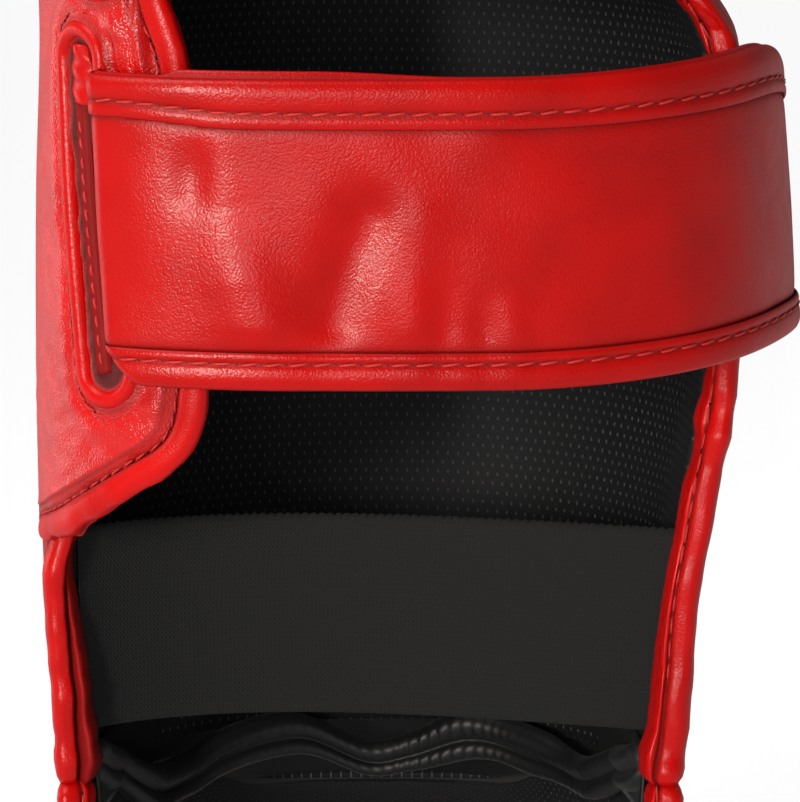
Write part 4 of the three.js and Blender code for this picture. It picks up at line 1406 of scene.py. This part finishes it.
INSTEP_SECTIONS = (
    dict(at=0, rim_y=-16, rim_z=87.5, crown_y=60, crown_z=87.5, left=62.4, right=58.4),
    dict(at=0.13, rim_y=-16, rim_z=60, crown_y=70, crown_z=85, left=61.5, right=59),
    dict(at=0.26, rim_y=-14, rim_z=32, crown_y=84, crown_z=79, left=60.5, right=59.5),
    dict(at=0.38, rim_y=-5, rim_z=10, crown_y=99, crown_z=71, left=60, right=60),
    dict(at=0.46, rim_y=8, rim_z=4.5, crown_y=110, crown_z=65, left=59, right=59),
    dict(at=0.6, rim_y=38, rim_z=4.5, crown_y=127, crown_z=55, left=57, right=57),
    dict(at=0.8, rim_y=78, rim_z=4.5, crown_y=147, crown_z=43, left=53.5, right=53.5),
    dict(at=1, rim_y=116, rim_z=4.5, crown_y=165, crown_z=32, left=49, right=49),
)
instep = {name: along_table(INSTEP_SECTIONS, "at", name) for name in INSTEP_SECTIONS[0] if name != "at"}


def instep_surface(along, across):
    """Outside of the instep: across runs from -1, the left rim, over the crown to 1, the right rim."""
    turn = np.abs(across) * np.pi / 2
    width = np.where(across < 0, -instep["left"](along), instep["right"](along))
    rise = np.maximum(np.cos(turn), 0) ** ARCH_ROUNDING
    y = lerp(instep["rim_y"](along), instep["crown_y"](along), rise)
    z = lerp(instep["rim_z"](along), instep["crown_z"](along), rise)
    return np.stack([width * np.sin(turn) ** ARCH_ROUNDING, y, z], -1)


def away_from_foot(along, across):
    a = np.clip(along, SHARE_STEP, 1 - SHARE_STEP)
    c = np.clip(across, -1 + SHARE_STEP, 1 - SHARE_STEP)
    sideways = instep_surface(a, c + SHARE_STEP) - instep_surface(a, c - SHARE_STEP)
    forward = instep_surface(a + SHARE_STEP, c) - instep_surface(a - SHARE_STEP, c)
    return unit(np.cross(sideways, forward))


def instep_along(across, v):
    return v * lerp(TOE_SIDE, 1, tongue(across))


def instep_point(across, v, lift):
    across, v, lift = np.broadcast_arrays(across, v, lift)
    along = instep_along(across, v)
    return instep_surface(along, across) + away_from_foot(along, across) * lift[..., None]


ankle_fabric = woven_black("ankle_fabric", colour=0.0025, rough=0.45, size=0.35, depth=0.05, sheen=0.02)
ankle_angle = np.linspace(-ANKLE_ANGLE, ANKLE_ANGLE, ANKLE_STATIONS)
ankle_z = along_table(ANKLE_WAVES, "angle", "z")(ankle_angle)
ankle_inset = ANKLE_INSET * (1 - END_TUCK * eased(np.abs(ankle_angle), END_TUCK_ANGLE, ANKLE_ANGLE))
ankle_lift = -(foam(ankle_angle / EDGE_ANGLE, SHIN_FOAM) + SKIN_GAP + LINING + ankle_inset)
ankle_line = leg_point(ankle_angle, ankle_z, ankle_lift)
ankle_run = run_along(ankle_line)
ankle_loop = rounded(ANKLE_SECTION, SECTION_STEPS)
ankle_spot = np.stack([ankle_run, 0 * ankle_run], -1)
ankle_turn = 2 * np.pi * ankle_run / PUCKER_PITCH + PUCKER_SHIFT * unevenness(ankle_spot, 14, 71)
gathered = PUCKER_LEAST + bell(ankle_angle, PUCKER_ANGLE, PUCKER_WIDTH)
pucker = PUCKER_DEPTH * (gathered * np.sin(ankle_turn))[:, None] * ankle_loop[:, 2]
swelling = 1 + ROLL_LUMPS * unevenness(ankle_spot, 22, 72)[:, None] - ROLL_PUCKERS * pucker
ankle_away = away_from_leg(ankle_angle, ankle_z)[:, None]
ankle_body = ankle_line[:, None] + (swelling * ankle_loop[:, 0])[..., None] * ankle_away
ankle_body[..., 2] += swelling * ankle_loop[:, 1]

ankle_u = np.linspace(-1, 1, ANKLE_COLUMNS + 1)[None, :]
backing_v = np.linspace(0, 1, BACKING_ROWS + 1)[:, None, None]
backing = []
for depth in (BACKING_DEPTH + BACKING, BACKING_DEPTH):
    above = shin_point(ankle_u, BACKING_TOP, -foam(ankle_u, SHIN_FOAM) - SKIN_GAP - depth)
    below = instep_point(ankle_u, BACKING_REACH, -foam(ankle_u, INSTEP_FOAM) - SKIN_GAP - depth)
    backing.append(lerp(above, below, 1 - backing_v))
backing_faces = wall_faces(ANKLE_COLUMNS, BACKING_ROWS)
ankle_roll = add_piece(
    "ankle_gathered_roll",
    *joined([(ankle_body, loft_faces(*ankle_body.shape[:2])), (np.stack(backing), backing_faces)]),
    ankle_fabric,
    "ankle_fabric",
    ["ankle_roll"],
)

gusset_v = np.linspace(CREASE_MARGIN, 1 - CREASE_MARGIN, GUSSET_ROWS + 1)[:, None, None]
gusset_sides = []
for proud in (-GUSSET_THICKNESS / 2, GUSSET_THICKNESS / 2):
    above = shin_point(ankle_u, 0, wall_middle(ankle_u, 0, SHIN_FOAM) + proud)
    below = instep_point(ankle_u, 0, wall_middle(ankle_u, 0, INSTEP_FOAM) + proud)
    gusset_sides.append(lerp(above, below, gusset_v))
gusset = add_wall("ankle_joining_strip", *gusset_sides, panel_leather, "red_leather", "ankle_gusset")
gusset_long, gusset_tall = flat_size(cloth_lengths(gusset_sides[1]))

# The instep
# A second foam wall in the same leather and lining, arched over the top of the foot and finished
# plainly. A roll is sewn all round its rim, and the guard stands on that.
INSTEP_COLUMNS = 52
INSTEP_ROWS = 56
RIM_STOPS = 120
ABOVE_FLOOR = 0.6  # of the stitches under the rim
INSTEP_PUCKERS = (
    dict(z=84, way=8, depth=0.07),
    dict(z=0, way=999, depth=0.03),
)


def over_the_arch(count):
    """Places from the left rim over the crown to the right rim, closer together near the rims."""
    return np.sin(np.pi * (np.linspace(0, 1, count) - 0.5))


instep_u, instep_v = np.meshgrid(over_the_arch(INSTEP_COLUMNS + 1), np.linspace(0, 1, INSTEP_ROWS + 1))
instep_drawn_in = drawn_in(instep_u, instep_v, INSTEP_FOAM)
instep_outer = instep_point(instep_u, instep_v, -instep_drawn_in)
instep_rim = np.concatenate([instep_outer[0], instep_outer[-1], instep_outer[:, 0], instep_outer[:, -1]])
instep_room = np.linalg.norm(instep_outer[:, :, None] - instep_rim, axis=-1).min(-1)
instep_drawn = bell(instep_room, 0, SEAM_REACH)
instep_cover = add_wall(
    "instep_cover",
    instep_point(instep_u, instep_v, -foam(instep_u, INSTEP_FOAM)),
    instep_point(instep_u, instep_v, -instep_drawn_in - SEAM_DIP * instep_drawn),
    panel_leather,
    "red_leather",
    "instep_pad",
    crease=SEAM_SHADE * instep_drawn ** 3,
)
stuffed(instep_cover, instep_room)
finer(instep_cover)

instep_lift = -foam(instep_u, INSTEP_FOAM) - SKIN_GAP
instep_lining_inside = instep_point(instep_u, instep_v, instep_lift - LINING)
instep_lining_mm = cloth_lengths(instep_lining_inside)
instep_lining = add_wall(
    "instep_lining_mesh",
    instep_lining_inside,
    instep_point(instep_u, instep_v, instep_lift),
    lining_mesh,
    "dotted_lining",
    "instep_lining",
    cloth_mm=instep_lining_mm,
)

rim_side = np.linspace(0, 1, RIM_STOPS)
rim_u = np.concatenate([-np.ones(RIM_STOPS - 1), over_the_arch(RIM_STOPS), np.ones(RIM_STOPS - 1)])
rim_v = np.concatenate([rim_side[:-1], np.ones(RIM_STOPS), rim_side[-2::-1]])
rim_seam, rim_out = roll(
    "instep_roll",
    instep_point(rim_u, rim_v, wall_middle(rim_u, rim_v, INSTEP_FOAM)),
    away_from_foot(instep_along(rim_u, rim_v), rim_u),
    "instep_binding",
    gathers(81, INSTEP_PUCKERS),
    reach=(WALL_REACH, WALL_REACH),
)
rim_seam[:, 2] = np.maximum(rim_seam[:, 2], ABOVE_FLOOR)
stitches("instep_stitches", rim_seam, rim_out, slant=0, seed=82)

# The studio
# A pale floor under a white surround and a soft sun at the upper left. A narrow softbox beside the camera
# draws the pale patches on the strap, one at the far left lights the wing's side, and a thin one by the
# camera lights the right roll. The camera stands behind the guard and looks a little down on it.
CAMERA_AIM = np.array([3.8, -20, 165])
CAMERA_DISTANCE = 1000
CAMERA_ELEVATION = math.radians(10)
PICTURE_HEIGHT = 802  # pixels
PIXELS_PER_MM = 5.25
SENSOR = 36
FLOOR_HALF = 8  # metres, like the lights' sizes and places
FLOOR_Z = -0.0002
SOFTBOXES = (
    dict(
        name="key",
        wide=0.09,
        tall=0.36,
        spread=23,
        energy=0.34,
        colour=(1, 0.95, 0.88),
        place=(-0.47, -0.92, 0.34),
        target=(-0.055, -0.13, 0.215),
    ),
    dict(
        name="rim_light",
        wide=0.3,
        tall=0.3,
        spread=180,
        energy=2.2,
        colour=(1, 1, 1),
        place=(-0.92, 0.36, 0.22),
        target=(-0.06, -0.03, 0.2),
    ),
    dict(
        name="strip",
        wide=0.07,
        tall=0.3,
        spread=25,
        energy=0.08,
        colour=(1, 1, 1),
        place=(-0.12, -0.95, 0.2),
        target=(0.07, -0.03, 0.14),
    ),
)


def add_to_scene(name, data):
    thing = bpy.data.objects.new(name, data)
    bpy.context.scene.collection.objects.link(thing)
    return thing


def add_light(name, kind, energy, place, target):
    light = add_to_scene(name, bpy.data.lights.new(name, kind))
    light.data.energy = energy
    light.location = place
    x, y, z = np.subtract(target, place)
    light.rotation_euler = (math.atan2(math.hypot(x, y), -z), 0, math.atan2(x, -y) + math.pi)
    return light.data


camera = add_to_scene("camera", bpy.data.cameras.new("camera"))
back = np.array([0, -math.cos(CAMERA_ELEVATION), math.sin(CAMERA_ELEVATION)])
camera.location = (CAMERA_AIM + leg_axis + CAMERA_DISTANCE * back) * MM
camera.rotation_euler = (math.pi / 2 - CAMERA_ELEVATION, 0, 0)
camera.data.sensor_width = SENSOR
camera.data.lens = SENSOR * CAMERA_DISTANCE * PIXELS_PER_MM / PICTURE_HEIGHT
camera.data.clip_start = 0.01
bpy.context.scene.camera = camera

floor_mesh = bpy.data.meshes.new("floor")
corners = [(-1, -1), (1, -1), (1, 1), (-1, 1)]
floor_mesh.from_pydata([(x * FLOOR_HALF, y * FLOOR_HALF, FLOOR_Z) for x, y in corners], [], [(0, 1, 2, 3)])
floor = add_to_scene("floor", floor_mesh)
floor_paint, floor_shader = new_finish("floor_paint")
wire(floor_paint, floor_shader, {"Base Color": (0.93, 0.93, 0.93, 1), "Roughness": 0.9})
floor_mesh.materials.append(floor_paint)

surround = bpy.data.worlds.new("surround")
surround.use_nodes = True
wire(surround, surround.node_tree.nodes["Background"], {"Color": (1, 1, 1, 1), "Strength": 0.3})
bpy.context.scene.world = surround
bpy.context.scene.view_settings.view_transform = "Standard"

sun = add_light("sun", "SUN", 2.7, (-0.42, -0.25, 0.87), (0, 0, 0))
sun.angle = math.radians(35)
for box in SOFTBOXES:
    softbox = add_light(box["name"], "AREA", box["energy"], box["place"], box["target"])
    softbox.shape = "RECTANGLE"
    softbox.size = box["wide"]
    softbox.size_y = box["tall"]
    softbox.spread = math.radians(box["spread"])
    softbox.color = box["colour"]
